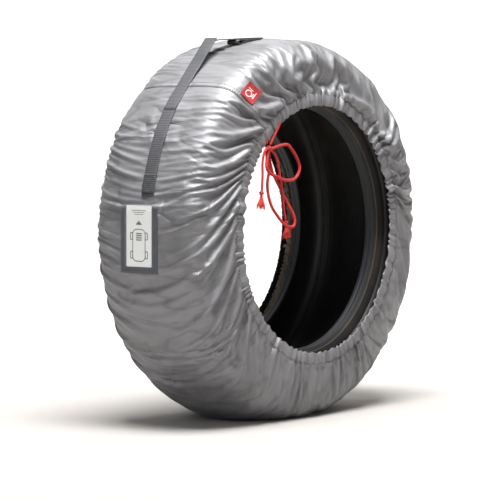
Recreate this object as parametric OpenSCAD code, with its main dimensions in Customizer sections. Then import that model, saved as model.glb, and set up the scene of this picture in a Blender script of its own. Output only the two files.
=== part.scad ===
// Drawstring storage cover on a car tyre, standing on its tread.
// Millimetres. Z is up, Y is the tyre's axis, the drawcord side faces -Y.
// The origin is the middle of the patch that rests on the floor.
// Angles round the tyre are counted from the top towards -X.

/* [Tyre] */
// Overall diameter of the bare tyre
tyre_od = 632; // [590:1:760]
// Width of the tyre across its sidewalls
tyre_width = 214; // [178:1:257]
// Diameter of the seat that grips a rim
bead_seat_d = 405.6; // [380:0.1:430]
// Distance between the outer faces of the two beads
bead_spread = 176; // [146:1:190]
// Thickness of the tread rubber
tread_t = 11; // [9:0.5:14]
// Thickness of the steel belt layers
belt_t = 2.5; // [1.5:0.5:4]
// Thickness of the carcass and inner liner under the belt
liner_t = 2.5; // [1.5:0.5:4]
// Thickness of the sidewall at its widest
sidewall_t = 8; // [5:0.5:10]
// Width of a tread groove
groove_w = 9; // [5:0.5:11]
// Depth of a tread groove
groove_depth = 7; // [4:0.5:8]

/* [Cover fabric] */
// Thickness of the gathered fabric
fabric_t = 1.5; // [1.2:0.1:2.5]
// Gap between the tread and the fabric
cover_gap = 0.5; // [0.3:0.1:3]
// How far the gathered sides stand off the tyre
side_puff = 5.5; // [3:0.5:9]
// How far the cover is pressed flat where it rests
squash = 0.8; // [0.3:0.1:1]
// Diameter of the opening inside the drawcord hem
front_hem_d = 398; // [330:1:400]
// Diameter of the opening inside the elastic hem
rear_hem_d = 416; // [350:1:430]
// Width of the black elastic
elastic_w = 12; // [8:1:16]
// Thickness of the ruched elastic
elastic_t = 3; // [2:0.5:5]
// Width of the folded hem that holds the elastic
rear_hem_w = 10; // [6:1:16]

/* [Drawcord] */
// Diameter of the drawcord
cord_d = 4.5; // [3:0.5:6]
// Width of the hem that the drawcord runs in
casing_w = 20; // [17:1:26]
// Thickness of one layer of the hem
casing_layer_t = 1.6; // [1:0.1:2.5]
// Angle of the eyelet that the taut leg leaves
right_eyelet_angle = 30; // [20:1:34]
// Angle of the eyelet beside the seam
left_eyelet_angle = 44.5; // [42:0.5:46]
// Outer diameter of an eyelet
eyelet_d = 11; // [9:0.5:12]
// Bore of an eyelet
eyelet_bore_d = 5.8; // [5:0.2:6.4]
// Angle of the bow's knot
knot_angle = 47; // [46:0.5:49]
// Diameter of the knot
knot_d = 12; // [10:0.5:13]

/* [Seam and tag] */
// Angle of the seam that closes the strip of fabric
seam_angle = 41; // [40:0.5:42]
// Width of the seam
seam_w = 11; // [8:1:14]
// How far the seam stands up
seam_h = 1; // [0.6:0.1:1.5]
// Length and width of the woven tag
tag_size = 30; // [20:1:34]
// Thickness of the folded tag
tag_t = 0.8; // [0.6:0.1:1.5]

/* [Carrying strap] */
// Width of the webbing
strap_w = 25; // [20:1:40]
// Thickness of the webbing
strap_t = 1.7; // [1.2:0.1:2.5]
// Middle of the strap along the tyre's axis
strap_y = -5; // [-30:1:15]
// Angle where the lower sewn end stops
lower_end_angle = 79; // [78:0.5:80]
// Angle where the upper sewn end stops
upper_end_angle = 14.5; // [13:0.5:18]
// Angle round the tyre that a sewn end covers
sewn_angle = 6; // [4:0.5:7]
// Angle where the strap leaves the tread
lift_off_angle = 48; // [46:1:56]

/* [Card pocket] */
// Width of the marker card
card_w = 52; // [40:1:60]
// Height of the marker card
card_h = 98; // [70:1:104]
// Thickness of the marker card
card_t = 0.6; // [0.4:0.1:1]
// Height of the pocket
pocket_h = 102; // [80:1:108]
// Width of the pocket's stitched border
binding_w = 10; // [6:1:12]
// Middle of the pocket along the tyre's axis
pocket_y = 1; // [-20:1:20]

/* [Hidden] */
$fn = 96;
cover_r = tyre_od / 2 + cover_gap + fabric_t;
cover_half_w = tyre_width / 2 + side_puff + fabric_t;
axis_z = cover_r - squash;          // height of the tyre's axis over the floor
bead_r = bead_seat_d / 2;
side_r = bead_r + 0.46 * (tyre_od / 2 - bead_r);   // radius where the tyre is widest
run_gap = 0.3;                      // clearance between a moving piece and the rest

// The cover's and the tyre's cross-sections are rounded boxes, |x|^n + |y|^n = 1.
cover_power = 5.5;
tyre_power = 4.5;
cover_split = 60;                   // where the tread panel meets the side panels
tyre_split = 50;                    // where the tread meets the sidewalls
tyre_in_t = tread_t + belt_t + liner_t;

function box_curve(a, b, n, phi) =
    [side_r + a * pow(cos(phi), 2 / n), b * sign(phi) * pow(abs(sin(phi)), 2 / n)];
function cover_at(phi, off = 0) =
    box_curve(cover_r - side_r + off, cover_half_w + off, cover_power, phi);
function tyre_at(phi, off = 0) =
    box_curve(tyre_od / 2 - side_r + off, tyre_width / 2 + off, tyre_power, phi);
// Steps from -1 to 1, closer together in the middle, where the curve turns fastest.
function across(n = 8) = [for (k = [-n:n]) k / n * abs(k / n)];
function back(list) = [for (k = [len(list) - 1:-1:0]) list[k]];
function flip(list, s) = [for (p = list) [p[0], p[1] * s]];
function polar(r, t) = [-r * sin(t), axis_z + r * cos(t)];

side_steps = [cover_split, 66, 73, 80, 87, 90];
wall_steps = [tyre_split, 58, 66, 74, 82, 90];

// Front hem: two layers folded round the cord, closed by the side panel's edge.
front_hem_r = front_hem_d / 2;
hem_y = cover_half_w + 1;           // middle of both hems, off the tyre's centre
channel_half = cord_d / 2 + 0.35;
cord_ring_r = front_hem_r + casing_layer_t + cord_d / 2 + 3.1;
panel_end_r = front_hem_r + casing_w - 6;
grip_r = front_hem_r + casing_w + 1;
casing_front = hem_y + channel_half + casing_layer_t;
rear_hem_r = rear_hem_d / 2;
rear_panel_end_r = rear_hem_r + elastic_w + rear_hem_w;

// Bead: its foot sits on a rim, its top carries the sidewall and holds the wire.
bead_top_r = bead_r + 21;
bead_out = bead_spread / 2;
bead_top_in = bead_out - 2;
bead_top_out = bead_out + 10;
seat_w = 14;                        // the bead's foot, out to its rounded heel
wire_w = 6;
wire_h = 7;

// Strap: the free webbing runs up from its lower sewn end, flat over the crown, folds back under
// itself and turns once more to reach its upper sewn end. Heights are over the top of the cover.
strap_span_angles = [lower_end_angle - sewn_angle - 0.4, upper_end_angle + 0.4];
strap_mid_r = cover_r + run_gap + strap_t / 2;
sewn_t = 2 * strap_t - 0.9;
crown_z = axis_z + cover_r;
under_h = strap_t / 2 + run_gap;
over_h = under_h + strap_t + 0.9;
fold_x = -22 * cover_r / 318;
turn_x = -strap_mid_r * sin(strap_span_angles[1]) - 2;
turn_h = sqrt(pow(strap_mid_r, 2) - pow(turn_x, 2)) - cover_r;
bend = [[-139, -4.6], [-136, -2.3], [-131, -0.8], [-124, 0]];   // below the flat part
stitch_h = 0.4;

// Card pocket: layers from the tread outwards, each a distance from the axis plane.
back_x = cover_r + 0.6;
slot_t = card_t + 2 * run_gap;
window_t = 0.4;
binding_t = 2;
pocket_inner_w = card_w + 4;
pocket_w = pocket_inner_w + 2 * binding_w;
pocket_low_z = axis_z - 62;

// Bow: every point is counted from the knot's middle.
knot_y = -casing_front - knot_d / 2 - 0.8;
knot_at = [-front_hem_r * sin(knot_angle), knot_y, axis_z + front_hem_r * cos(knot_angle)];
upper_loop = [[3, -2, -1], [15, -2, 2], [31, -2, 5], [47, -2, 6], [56, -2, 1], [66, -3, -9],
    [76, -3, -22], [78, -4, -32], [73, -5, -42], [60, -7, -50], [43, -8, -52], [26, -9, -50],
    [10, -9, -45], [-3, -8, -41], [-11, -7, -35], [-13, -6, -28], [-10, -4, -20], [-6, -2, -11],
    [-2, -1, -3]];
lower_loop = [[-2, 1, 0], [-1, 3, -12], [3, 3, -23], [6, 3, -34], [3, 3, -45], [-2, 1, -58],
    [-4, -2, -72], [-3, -5, -85], [2, -7, -97], [11, -9, -108], [22, -11, -119], [36, -12, -127],
    [50, -12, -127], [56, -11, -119], [54, -8, -105], [47, -4, -91], [39, 0, -75], [31, 3, -60],
    [22, 3, -49], [14, 3, -38], [9, 3, -25], [5, 3, -13], [2, 1, 0]];
long_tail = [[3, -1, 0], [13, -2, -9], [20, -3, -22], [24, -3, -35], [26, -3, -46], [29, -4, -57],
    [31, -4, -70], [34, -4, -88], [37, -4, -106], [41, -4, -120]];
short_tail = [[-3, -2, 1], [-12, -3, -2], [-17, -3, -10], [-20, -3, -24], [-21, -4, -39],
    [-23, -5, -54], [-26, -6, -70]];

// A ring round the tyre's axis, from its cross-section [radius, y].
module ring(points, from = 0, to = 360) {
    translate([0, 0, axis_z])
        rotate([-90, 0, 0])
            rotate([0, 0, to - from < 360 ? 270 - to : 0])
                rotate_extrude(angle = to - from)
                    polygon(points);
}

// The children stand on the axis, with Z out towards an angle round the tyre.
module at_angle(t) {
    translate([0, 0, axis_z]) rotate([0, -t, 0]) children();
}

// A layer of the tyre's crown between two depths.
module crown_layer(outer, inner) {
    ring(concat([for (u = across()) tyre_at(tyre_split * u, -outer)],
        back([for (u = across()) tyre_at(tyre_split * u, -inner)])));
}

module tyre_tread() {
    spacing = tyre_width / 5;
    color("#1b1b1c") difference() {
        crown_layer(0, tread_t);
        for (y = [-1.5, -0.5, 0.5, 1.5] * spacing)
            translate([0, 0, axis_z])
                rotate([-90, 0, 0])
                    translate([0, 0, y - groove_w / 2])
                        difference() {
                            cylinder(h = groove_w, r = tyre_od / 2 + 1);
                            translate([0, 0, -1])
                                cylinder(h = groove_w + 2, r = tyre_od / 2 - groove_depth);
                        }
    }
}

module steel_belt() {
    color("#8a7a5a") crown_layer(tread_t, tread_t + belt_t);
}

module tyre_carcass() {
    color("#202021") crown_layer(tread_t + belt_t, tyre_in_t);
}

// One sidewall, from the tread's edge down to the bead; s is -1 in front, 1 at the back.
module sidewall(s) {
    drop = side_r - bead_top_r;
    outer = concat([for (p = wall_steps) tyre_at(p)],
        [[side_r - 0.33 * drop, tyre_width / 2 - 1.2], [side_r - 0.67 * drop, tyre_width / 2 - 4.5],
        [bead_top_r, bead_top_out]]);
    inner = concat([for (k = [0:5]) tyre_at(wall_steps[k],
            -tyre_in_t + (tyre_in_t - sidewall_t) * k / 5)],
        [[side_r - 0.5 * drop, tyre_width / 2 - sidewall_t - 3], [bead_top_r, bead_top_in]]);
    ring(flip(concat(outer, back(inner)), s));
}

module tyre_front_sidewall() { color("#222223") sidewall(-1); }

module tyre_rear_sidewall() { color("#222223") sidewall(1); }

// The rubber foot of a bead, with the groove that its wire lies in.
module bead(s) {
    mid = (bead_top_in + bead_top_out) / 2;
    ring(flip([[bead_top_r, bead_top_out], [bead_r + 11, bead_out + 5], [bead_r + 4, bead_out + 2],
        [bead_r, bead_out - 2], [bead_r, bead_out - seat_w], [bead_r + 2, bead_out - seat_w + 0.4],
        [bead_r + 10, bead_out - 9], [bead_top_r, bead_top_in],
        [bead_top_r, mid - wire_w / 2], [bead_top_r - wire_h, mid - wire_w / 2],
        [bead_top_r - wire_h, mid + wire_w / 2], [bead_top_r, mid + wire_w / 2]], s));
}

module front_bead_ring() { color("#2b2a29") bead(-1); }

module rear_bead_ring() { color("#2b2a29") bead(1); }

// The bundle of wire that keeps a bead from stretching.
module bead_wire(s) {
    mid = (bead_top_in + bead_top_out) / 2;
    ring(flip([[bead_top_r - wire_h, mid - wire_w / 2], [bead_top_r, mid - wire_w / 2],
        [bead_top_r, mid + wire_w / 2], [bead_top_r - wire_h, mid + wire_w / 2]], s));
}

module front_bead_wire() { color("#a08050") bead_wire(-1); }

module rear_bead_wire() { color("#a08050") bead_wire(1); }

// The fabric over the tread, flat where it rests.
module tread_panel() {
    color("#a9abae") difference() {
        ring(concat([for (u = across()) cover_at(cover_split * u)],
            back([for (u = across()) cover_at(cover_split * u, -fabric_t)])));
        translate([-cover_r, -cover_half_w, -10]) cube([2 * cover_r, 2 * cover_half_w, 10]);
    }
}

// The fabric over one side of the tyre, down to the edge of its hem.
module side_panel(s, end_r) {
    high = hem_y + fabric_t / 2;
    low = hem_y - fabric_t / 2;
    ring(flip(concat([for (p = side_steps) cover_at(p)],
        [[end_r + 7, high], [end_r, high], [end_r, low], [end_r + 7, low]],
        back([for (p = side_steps) cover_at(p, -fabric_t)])), s));
}

module front_side_panel() { color("#a2a4a7") side_panel(-1, panel_end_r); }

module rear_side_panel() { color("#a2a4a7") side_panel(1, rear_panel_end_r); }

// The folded hem: one fold at the opening, and two layers that grip the side panel's edge.
module front_drawcord_casing() {
    r = front_hem_r;
    out = channel_half + casing_layer_t;
    lip = fabric_t / 2;
    swell_r = panel_end_r - 2.5;
    outer = [[r + casing_w, lip + casing_layer_t], [panel_end_r, lip + casing_layer_t],
        [swell_r, out], [r + 2, out], [r, out - 1.6]];
    inner = [[r + casing_w, lip], [panel_end_r, lip], [swell_r, channel_half],
        [r + casing_layer_t, channel_half]];
    color("#9b9da0") difference() {
        ring([for (p = concat(outer, back(flip(outer, -1)), flip(inner, -1), back(inner)))
            [p[0], p[1] - hem_y]]);
        for (t = [left_eyelet_angle, right_eyelet_angle])
            at_angle(t) translate([0, -casing_front - 1, cord_ring_r])
                rotate([-90, 0, 0])
                    cylinder(h = casing_layer_t + 1.3, d = eyelet_bore_d + 1.4, $fn = 32);
    }
}

module rear_hem() {
    t = fabric_t + 1.5;
    color("#8d857c") ring([[rear_hem_r + elastic_w, hem_y - t / 2],
        [rear_panel_end_r, hem_y - t / 2], [rear_panel_end_r, hem_y + t / 2],
        [rear_hem_r + elastic_w, hem_y + t / 2]]);
}

module rear_elastic_band() {
    color("#141414") ring([[rear_hem_r, hem_y - elastic_t / 2 + 0.6],
        [rear_hem_r + 0.8, hem_y - elastic_t / 2], [rear_hem_r + elastic_w, hem_y - elastic_t / 2],
        [rear_hem_r + elastic_w, hem_y + elastic_t / 2], [rear_hem_r + 0.8, hem_y + elastic_t / 2],
        [rear_hem_r, hem_y + elastic_t / 2 - 0.6]]);
}

// The seam runs across the tread and down the front to the hem.
module closing_seam() {
    half = atan(seam_w / 2 / cover_r);
    steps = concat([for (u = across()) if (cover_split * u > -40) cover_split * u],
        [66, 73, 80, 87, 90]);
    end_y = hem_y + fabric_t / 2;
    color("#999b9e") ring(flip(concat([for (p = steps) cover_at(p, seam_h)],
        [[grip_r, end_y + seam_h], [grip_r, end_y]],
        back([for (p = steps) cover_at(p)])), -1), seam_angle - half, seam_angle + half);
}

// The drawcord's hidden part, all round inside the hem.
module casing_cord() {
    color("#c4262b") translate([0, -hem_y, axis_z])
        rotate([90, 0, 0])
            rotate_extrude()
                translate([cord_ring_r, 0]) circle(d = cord_d, $fn = 24);
}

// A pressed metal eyelet: a flange and the barrel through the hem's front layer.
module eyelet(t) {
    at_angle(t) translate([0, -casing_front, cord_ring_r])
        rotate([-90, 0, 0])
            difference() {
                union() {
                    translate([0, 0, -0.7]) cylinder(h = 0.7, d = eyelet_d, $fn = 48);
                    cylinder(h = casing_layer_t, d = eyelet_bore_d + 1.4, $fn = 48);
                }
                translate([0, 0, -2]) cylinder(h = casing_layer_t + 4, d = eyelet_bore_d, $fn = 48);
            }
}

module right_eyelet() { color("#b9bbbd") eyelet(right_eyelet_angle); }

module left_eyelet() { color("#b9bbbd") eyelet(left_eyelet_angle); }

// A round tube along a list of points, as one closed solid.
function unit(v) = v / norm(v);
function heading(path, i) =
    unit(path[min(i + 1, len(path) - 1)] - path[max(i - 1, 0)]);
module tube(path, d, sides = 8) {
    lean = [0.13, 1, 0.08];         // never along the cord
    points = [for (i = [0:len(path) - 1])
        let (h = heading(path, i), u = unit(cross(h, lean)), v = cross(h, u))
            for (k = [0:sides - 1])
                path[i] + d / 2 * (u * cos(360 * k / sides) + v * sin(360 * k / sides))];
    last = (len(path) - 1) * sides;
    polyhedron(points, concat([[for (k = [0:sides - 1]) k]],
        [for (i = [0:len(path) - 2]) for (k = [0:sides - 1])
            let (a = i * sides + k, b = i * sides + (k + 1) % sides)
                [a, a + sides, b + sides, b]],
        [[for (k = [sides - 1:-1:0]) last + k]]), convexity = 10);
}

function eyelet_at(t) = let (p = polar(cord_ring_r, t)) [p[0], -casing_front, p[1]];

// The straight leg from an eyelet to just short of the knot.
module cord_leg(t) {
    hole = eyelet_at(t);
    out = hole + [0, -3.2, 0];
    toward = unit(out - knot_at);
    near = knot_at + toward * (knot_d / 2 + cord_d / 2 + run_gap);
    start = hole + [0, casing_layer_t + 0.2, 0];
    tube([start, hole, out, (2 * out + near) / 3, (out + 2 * near) / 3, near], cord_d);
}

module cord_leg_right() { color("#d3292e") cord_leg(right_eyelet_angle); }

module cord_leg_left() { color("#d3292e") cord_leg(left_eyelet_angle); }

// The knot is round about the Y axis, so the bow swings about its middle.
module bow_knot() {
    r = knot_d / 2;
    color("#cf282d") translate(knot_at) rotate([-90, 0, 0])
        rotate_extrude() polygon([[0, -r], [0.5 * r, -0.87 * r], [0.87 * r, -0.5 * r], [r, 0],
            [0.87 * r, 0.5 * r], [0.5 * r, 0.87 * r], [0, r]]);
}

module bow_cord(path) {
    color("#d3292e") tube([for (p = path) knot_at + p], cord_d);
}

module loop_upper() { bow_cord(upper_loop); }

module loop_lower() { bow_cord(lower_loop); }

module tail_long() { bow_cord(long_tail); }

module tail_short() { bow_cord(short_tail); }

// A knotted cord end: a ball, a neck and the frayed brush below it.
module tassel(end, lean) {
    color("#e0444a") translate(knot_at + end) rotate([0, lean, 0])
        rotate_extrude() polygon([[0, 2], [3.5, 1], [4.5, -2], [3.5, -5], [3, -7], [5, -14],
            [9, -24], [8, -28], [0, -28]]);
}

module tassel_long() { tassel(long_tail[len(long_tail) - 1], -8); }

module tassel_short() { tassel(short_tail[len(short_tail) - 1], 6); }

// A sewn end of the strap: the webbing folded under, lying on the tread.
module sewn_end(low) {
    ring([[cover_r, strap_y - strap_w / 2], [cover_r + sewn_t, strap_y - strap_w / 2],
        [cover_r + sewn_t, strap_y + strap_w / 2], [cover_r, strap_y + strap_w / 2]],
        low - sewn_angle, low);
}

module strap_lower_end() { color("#4b4d52") sewn_end(lower_end_angle); }

module strap_upper_end() { color("#4b4d52") sewn_end(upper_end_angle); }

// Two bars of stitching across each sewn end, and one line along each edge.
module strap_stitches() {
    r0 = cover_r + sewn_t;
    half = strap_w / 2 - 3;
    color("#6c6e73") for (end = [lower_end_angle, upper_end_angle]) {
        for (t = [end - sewn_angle + 0.6, end - 0.8])
            ring([[r0, strap_y - half], [r0 + stitch_h, strap_y - half],
                [r0 + stitch_h, strap_y + half], [r0, strap_y + half]], t, t + 0.2);
        for (y = [-1, 1] * half)
            ring([[r0, strap_y + y - 0.5], [r0 + stitch_h, strap_y + y - 0.5],
                [r0 + stitch_h, strap_y + y + 0.5], [r0, strap_y + y + 0.5]],
                end - sewn_angle + 0.9, end - 0.9);
    }
}

// The free webbing, seen from its edge: up the tread, over the bend, back under the curl.
function strap_line() = concat(
    [for (t = [strap_span_angles[0]:-4:lift_off_angle]) polar(strap_mid_r, t)],
    [polar(strap_mid_r, lift_off_angle)],
    [for (p = bend) [p[0] * cover_r / 318, crown_z + over_h + p[1]]],
    arc([fold_x, crown_z], over_h, under_h, 1),
    arc([turn_x, crown_z], under_h, turn_h, -1),
    [polar(strap_mid_r, strap_span_angles[1])]);

// A half turn from one height to a lower one; s is 1 if it bulges towards +X.
function arc(at, high, low, s) = [for (a = [90:-30:-90])
    [at[0] + s * (high - low) / 2 * cos(a), at[1] + (high + low) / 2 + (high - low) / 2 * sin(a)]];

module strap_span() {
    line = strap_line();
    n = len(line);
    across = [for (i = [0:n - 1]) let (d = unit(line[min(i + 1, n - 1)] - line[max(i - 1, 0)]))
        [-d[1], d[0]] * strap_t / 2];
    color("#4b4d52") translate([0, strap_y + strap_w / 2, 0])
        rotate([90, 0, 0])
            linear_extrude(strap_w)
                polygon(concat([for (i = [0:n - 1]) line[i] + across[i]],
                    back([for (i = [0:n - 1]) line[i] - across[i]])));
}

// A flat slab of the pocket, from one distance off the axis plane to another.
module slab(near, far, w, low, high) {
    translate([-far, pocket_y - w / 2, low]) cube([far - near, w, high - low]);
}

// The cloth behind the card, drawn flat by it and backed by the tread panel.
module pocket_back() {
    color("#9fa1a4") difference() {
        slab(cover_r - 12, back_x, pocket_w, pocket_low_z, pocket_low_z + pocket_h);
        translate([0, 0, axis_z]) rotate([-90, 0, 0])
            cylinder(h = 4 * pocket_w, r = cover_r, center = true, $fn = 720);
    }
}

module pocket_binding() {
    high = pocket_low_z + pocket_h;
    color("#55575b") difference() {
        slab(back_x, back_x + binding_t, pocket_w, pocket_low_z, high);
        slab(back_x - 1, back_x + binding_t + 1, pocket_inner_w, pocket_low_z + binding_w, high + 1);
    }
}

module pocket_window() {
    color("#d8dde0", 0.4) slab(back_x + slot_t, back_x + slot_t + window_t, pocket_inner_w,
        pocket_low_z + binding_w, pocket_low_z + pocket_h - 2);
}

module marker_card() {
    low = pocket_low_z + binding_w + run_gap;
    color("#f2f2ef") slab(back_x + run_gap, back_x + run_gap + card_t, card_w, low, low + card_h);
}

// The woven tag lies flat on the front shoulder, hinged where the seam holds its edge.
module seam_tag() {
    far = cover_half_w + seam_h + run_gap + tag_t;
    high = cover_r - 12;
    color("#c8202a") at_angle(seam_angle)
        translate([0, -far, high - tag_size]) cube([tag_size, tag_t, tag_size]);
}

tyre_tread();
steel_belt();
tyre_carcass();
tyre_front_sidewall();
tyre_rear_sidewall();
front_bead_ring();
rear_bead_ring();
front_bead_wire();
rear_bead_wire();
tread_panel();
front_side_panel();
rear_side_panel();
front_drawcord_casing();
rear_hem();
rear_elastic_band();
closing_seam();
casing_cord();
right_eyelet();
left_eyelet();
cord_leg_right();
cord_leg_left();
strap_lower_end();
strap_upper_end();
strap_stitches();
strap_span();
pocket_back();
pocket_binding();
pocket_window();
marker_card();
seam_tag();
bow_knot();
loop_upper();
loop_lower();
tail_long();
tail_short();
tassel_long();
tassel_short();
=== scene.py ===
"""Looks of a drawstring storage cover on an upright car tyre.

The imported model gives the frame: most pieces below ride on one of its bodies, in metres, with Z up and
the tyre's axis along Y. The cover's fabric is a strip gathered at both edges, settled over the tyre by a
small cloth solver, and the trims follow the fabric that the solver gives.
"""

import logging
import math
from dataclasses import dataclass
from enum import Enum
from typing import ClassVar

import bpy
import numpy as np
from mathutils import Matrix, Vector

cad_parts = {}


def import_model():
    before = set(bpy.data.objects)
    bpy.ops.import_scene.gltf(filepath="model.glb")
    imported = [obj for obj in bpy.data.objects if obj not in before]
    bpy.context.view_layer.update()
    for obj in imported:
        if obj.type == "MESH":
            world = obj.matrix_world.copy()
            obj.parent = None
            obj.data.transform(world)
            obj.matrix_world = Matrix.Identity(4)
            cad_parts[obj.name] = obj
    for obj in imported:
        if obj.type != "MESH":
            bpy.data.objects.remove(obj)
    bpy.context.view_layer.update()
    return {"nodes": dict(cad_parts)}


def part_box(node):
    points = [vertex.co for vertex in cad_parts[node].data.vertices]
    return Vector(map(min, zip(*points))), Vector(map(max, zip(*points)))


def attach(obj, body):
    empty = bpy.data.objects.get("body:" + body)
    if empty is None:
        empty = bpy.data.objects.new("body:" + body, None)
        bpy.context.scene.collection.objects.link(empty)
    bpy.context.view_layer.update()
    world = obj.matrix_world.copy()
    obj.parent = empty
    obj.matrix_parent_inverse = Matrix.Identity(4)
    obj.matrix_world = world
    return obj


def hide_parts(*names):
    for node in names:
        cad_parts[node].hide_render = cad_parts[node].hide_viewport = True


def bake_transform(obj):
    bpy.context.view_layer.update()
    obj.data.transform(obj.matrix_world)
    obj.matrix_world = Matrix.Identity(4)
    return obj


LOG = logging.getLogger("cover")

ROOT, HANDLE, CARD, TAG, BOW = "covered_tyre", "handle", "card", "tag", "bow"
MM = 0.001
TAU = 2 * math.pi

Material, Node, Socket = bpy.types.Material, bpy.types.Node, bpy.types.NodeSocket
Shape = tuple[np.ndarray, np.ndarray, np.ndarray]  # points, faces, UVs


class Weave(Enum):
    """How a cloth is woven, which sets the pattern of its bump."""

    PLAIN = "plain"
    RIBBED = "ribbed"


# ---------------------------------------------------------------- materials


def srgb(value: str) -> tuple[float, float, float, float]:
    """The linear colour of an sRGB hex value.

    Args:
        value: six hex digits with a leading hash.

    Returns:
        red, green, blue and alpha for a shader socket.
    """
    parts = [int(value[i : i + 2], 16) / 255 for i in (1, 3, 5)]
    lin = [c / 12.92 if c <= 0.04045 else ((c + 0.055) / 1.055) ** 2.4 for c in parts]
    return lin[0], lin[1], lin[2], 1.0


def add(mat: Material, kind: str, links: dict | None = None, **settings) -> Node:
    """Adds a node with its settings and links.

    Args:
        mat: the material that gets the node.
        kind: the node's type name.
        links: input name or index to the output socket that feeds it.
        **settings: attributes of the node, or values of inputs as in_NAME or in_INDEX.

    Returns:
        the new node.
    """
    node = mat.node_tree.nodes.new(kind)
    for key, value in settings.items():
        if key.startswith("in_"):
            name = key[3:]
            node.inputs[int(name) if name.isdigit() else name.replace("_", " ")].default_value = value
        else:
            setattr(node, key, value)
    for key, socket in (links or {}).items():
        mat.node_tree.links.new(socket, node.inputs[key])
    return node


def ramp(mat: Material, source: Socket, stops: list[tuple]) -> Socket:
    """A colour ramp over a value.

    Args:
        mat: the material that gets the node.
        source: the value from 0 to 1.
        stops: (position, hex colour) pairs.

    Returns:
        the ramp's colour output.
    """
    node = add(mat, "ShaderNodeValToRGB", {"Fac": source})
    elements = node.color_ramp.elements
    while len(elements) < len(stops):
        elements.new(0.5)
    for element, (place, colour) in zip(elements, stops):
        element.position = place
        element.color = srgb(colour)
    return node.outputs["Color"]


def grit(
    mat: Material, shader: Node, where: Socket, scale: float, detail: float, strength: float, distance: float
) -> None:
    """Roughens a shader's normal with fine noise.

    Args:
        mat: the material.
        shader: the shader that gets the normal.
        where: the coordinates.
        scale: the noise's grains per metre.
        detail: its finer octaves.
        strength: the bump's strength.
        distance: the bump's height in metres.
    """
    noise = add(mat, "ShaderNodeTexNoise", {"Vector": where}, in_Scale=scale, in_Detail=detail).outputs["Fac"]
    bump = add(mat, "ShaderNodeBump", {"Height": noise}, in_Strength=strength, in_Distance=distance)
    mat.node_tree.links.new(bump.outputs["Normal"], shader.inputs["Normal"])


@dataclass(frozen=True)
class Finish:
    """What every finish has: a name, and the sockets that are the same all over it."""

    name: str
    base: str
    roughness: float = 0.6
    metallic: float = 0.0
    specular: float = 0.5
    sheen: float = 0.0
    sheen_roughness: float = 0.5

    def start(self) -> tuple[Material, Node]:
        """The material with its shader, ready for the finish's own pattern."""
        mat = bpy.data.materials.new(self.name)
        mat.use_nodes = True
        shader = mat.node_tree.nodes["Principled BSDF"]
        shader.inputs["Base Color"].default_value = srgb(self.base)
        shader.inputs["Roughness"].default_value = self.roughness
        shader.inputs["Metallic"].default_value = self.metallic
        shader.inputs["Specular IOR Level"].default_value = self.specular
        shader.inputs["Sheen Weight"].default_value = self.sheen
        shader.inputs["Sheen Roughness"].default_value = self.sheen_roughness
        mat.diffuse_color = srgb(self.base)
        return mat, shader

    def material(self) -> Material:
        """The finished material."""
        return self.start()[0]


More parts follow.
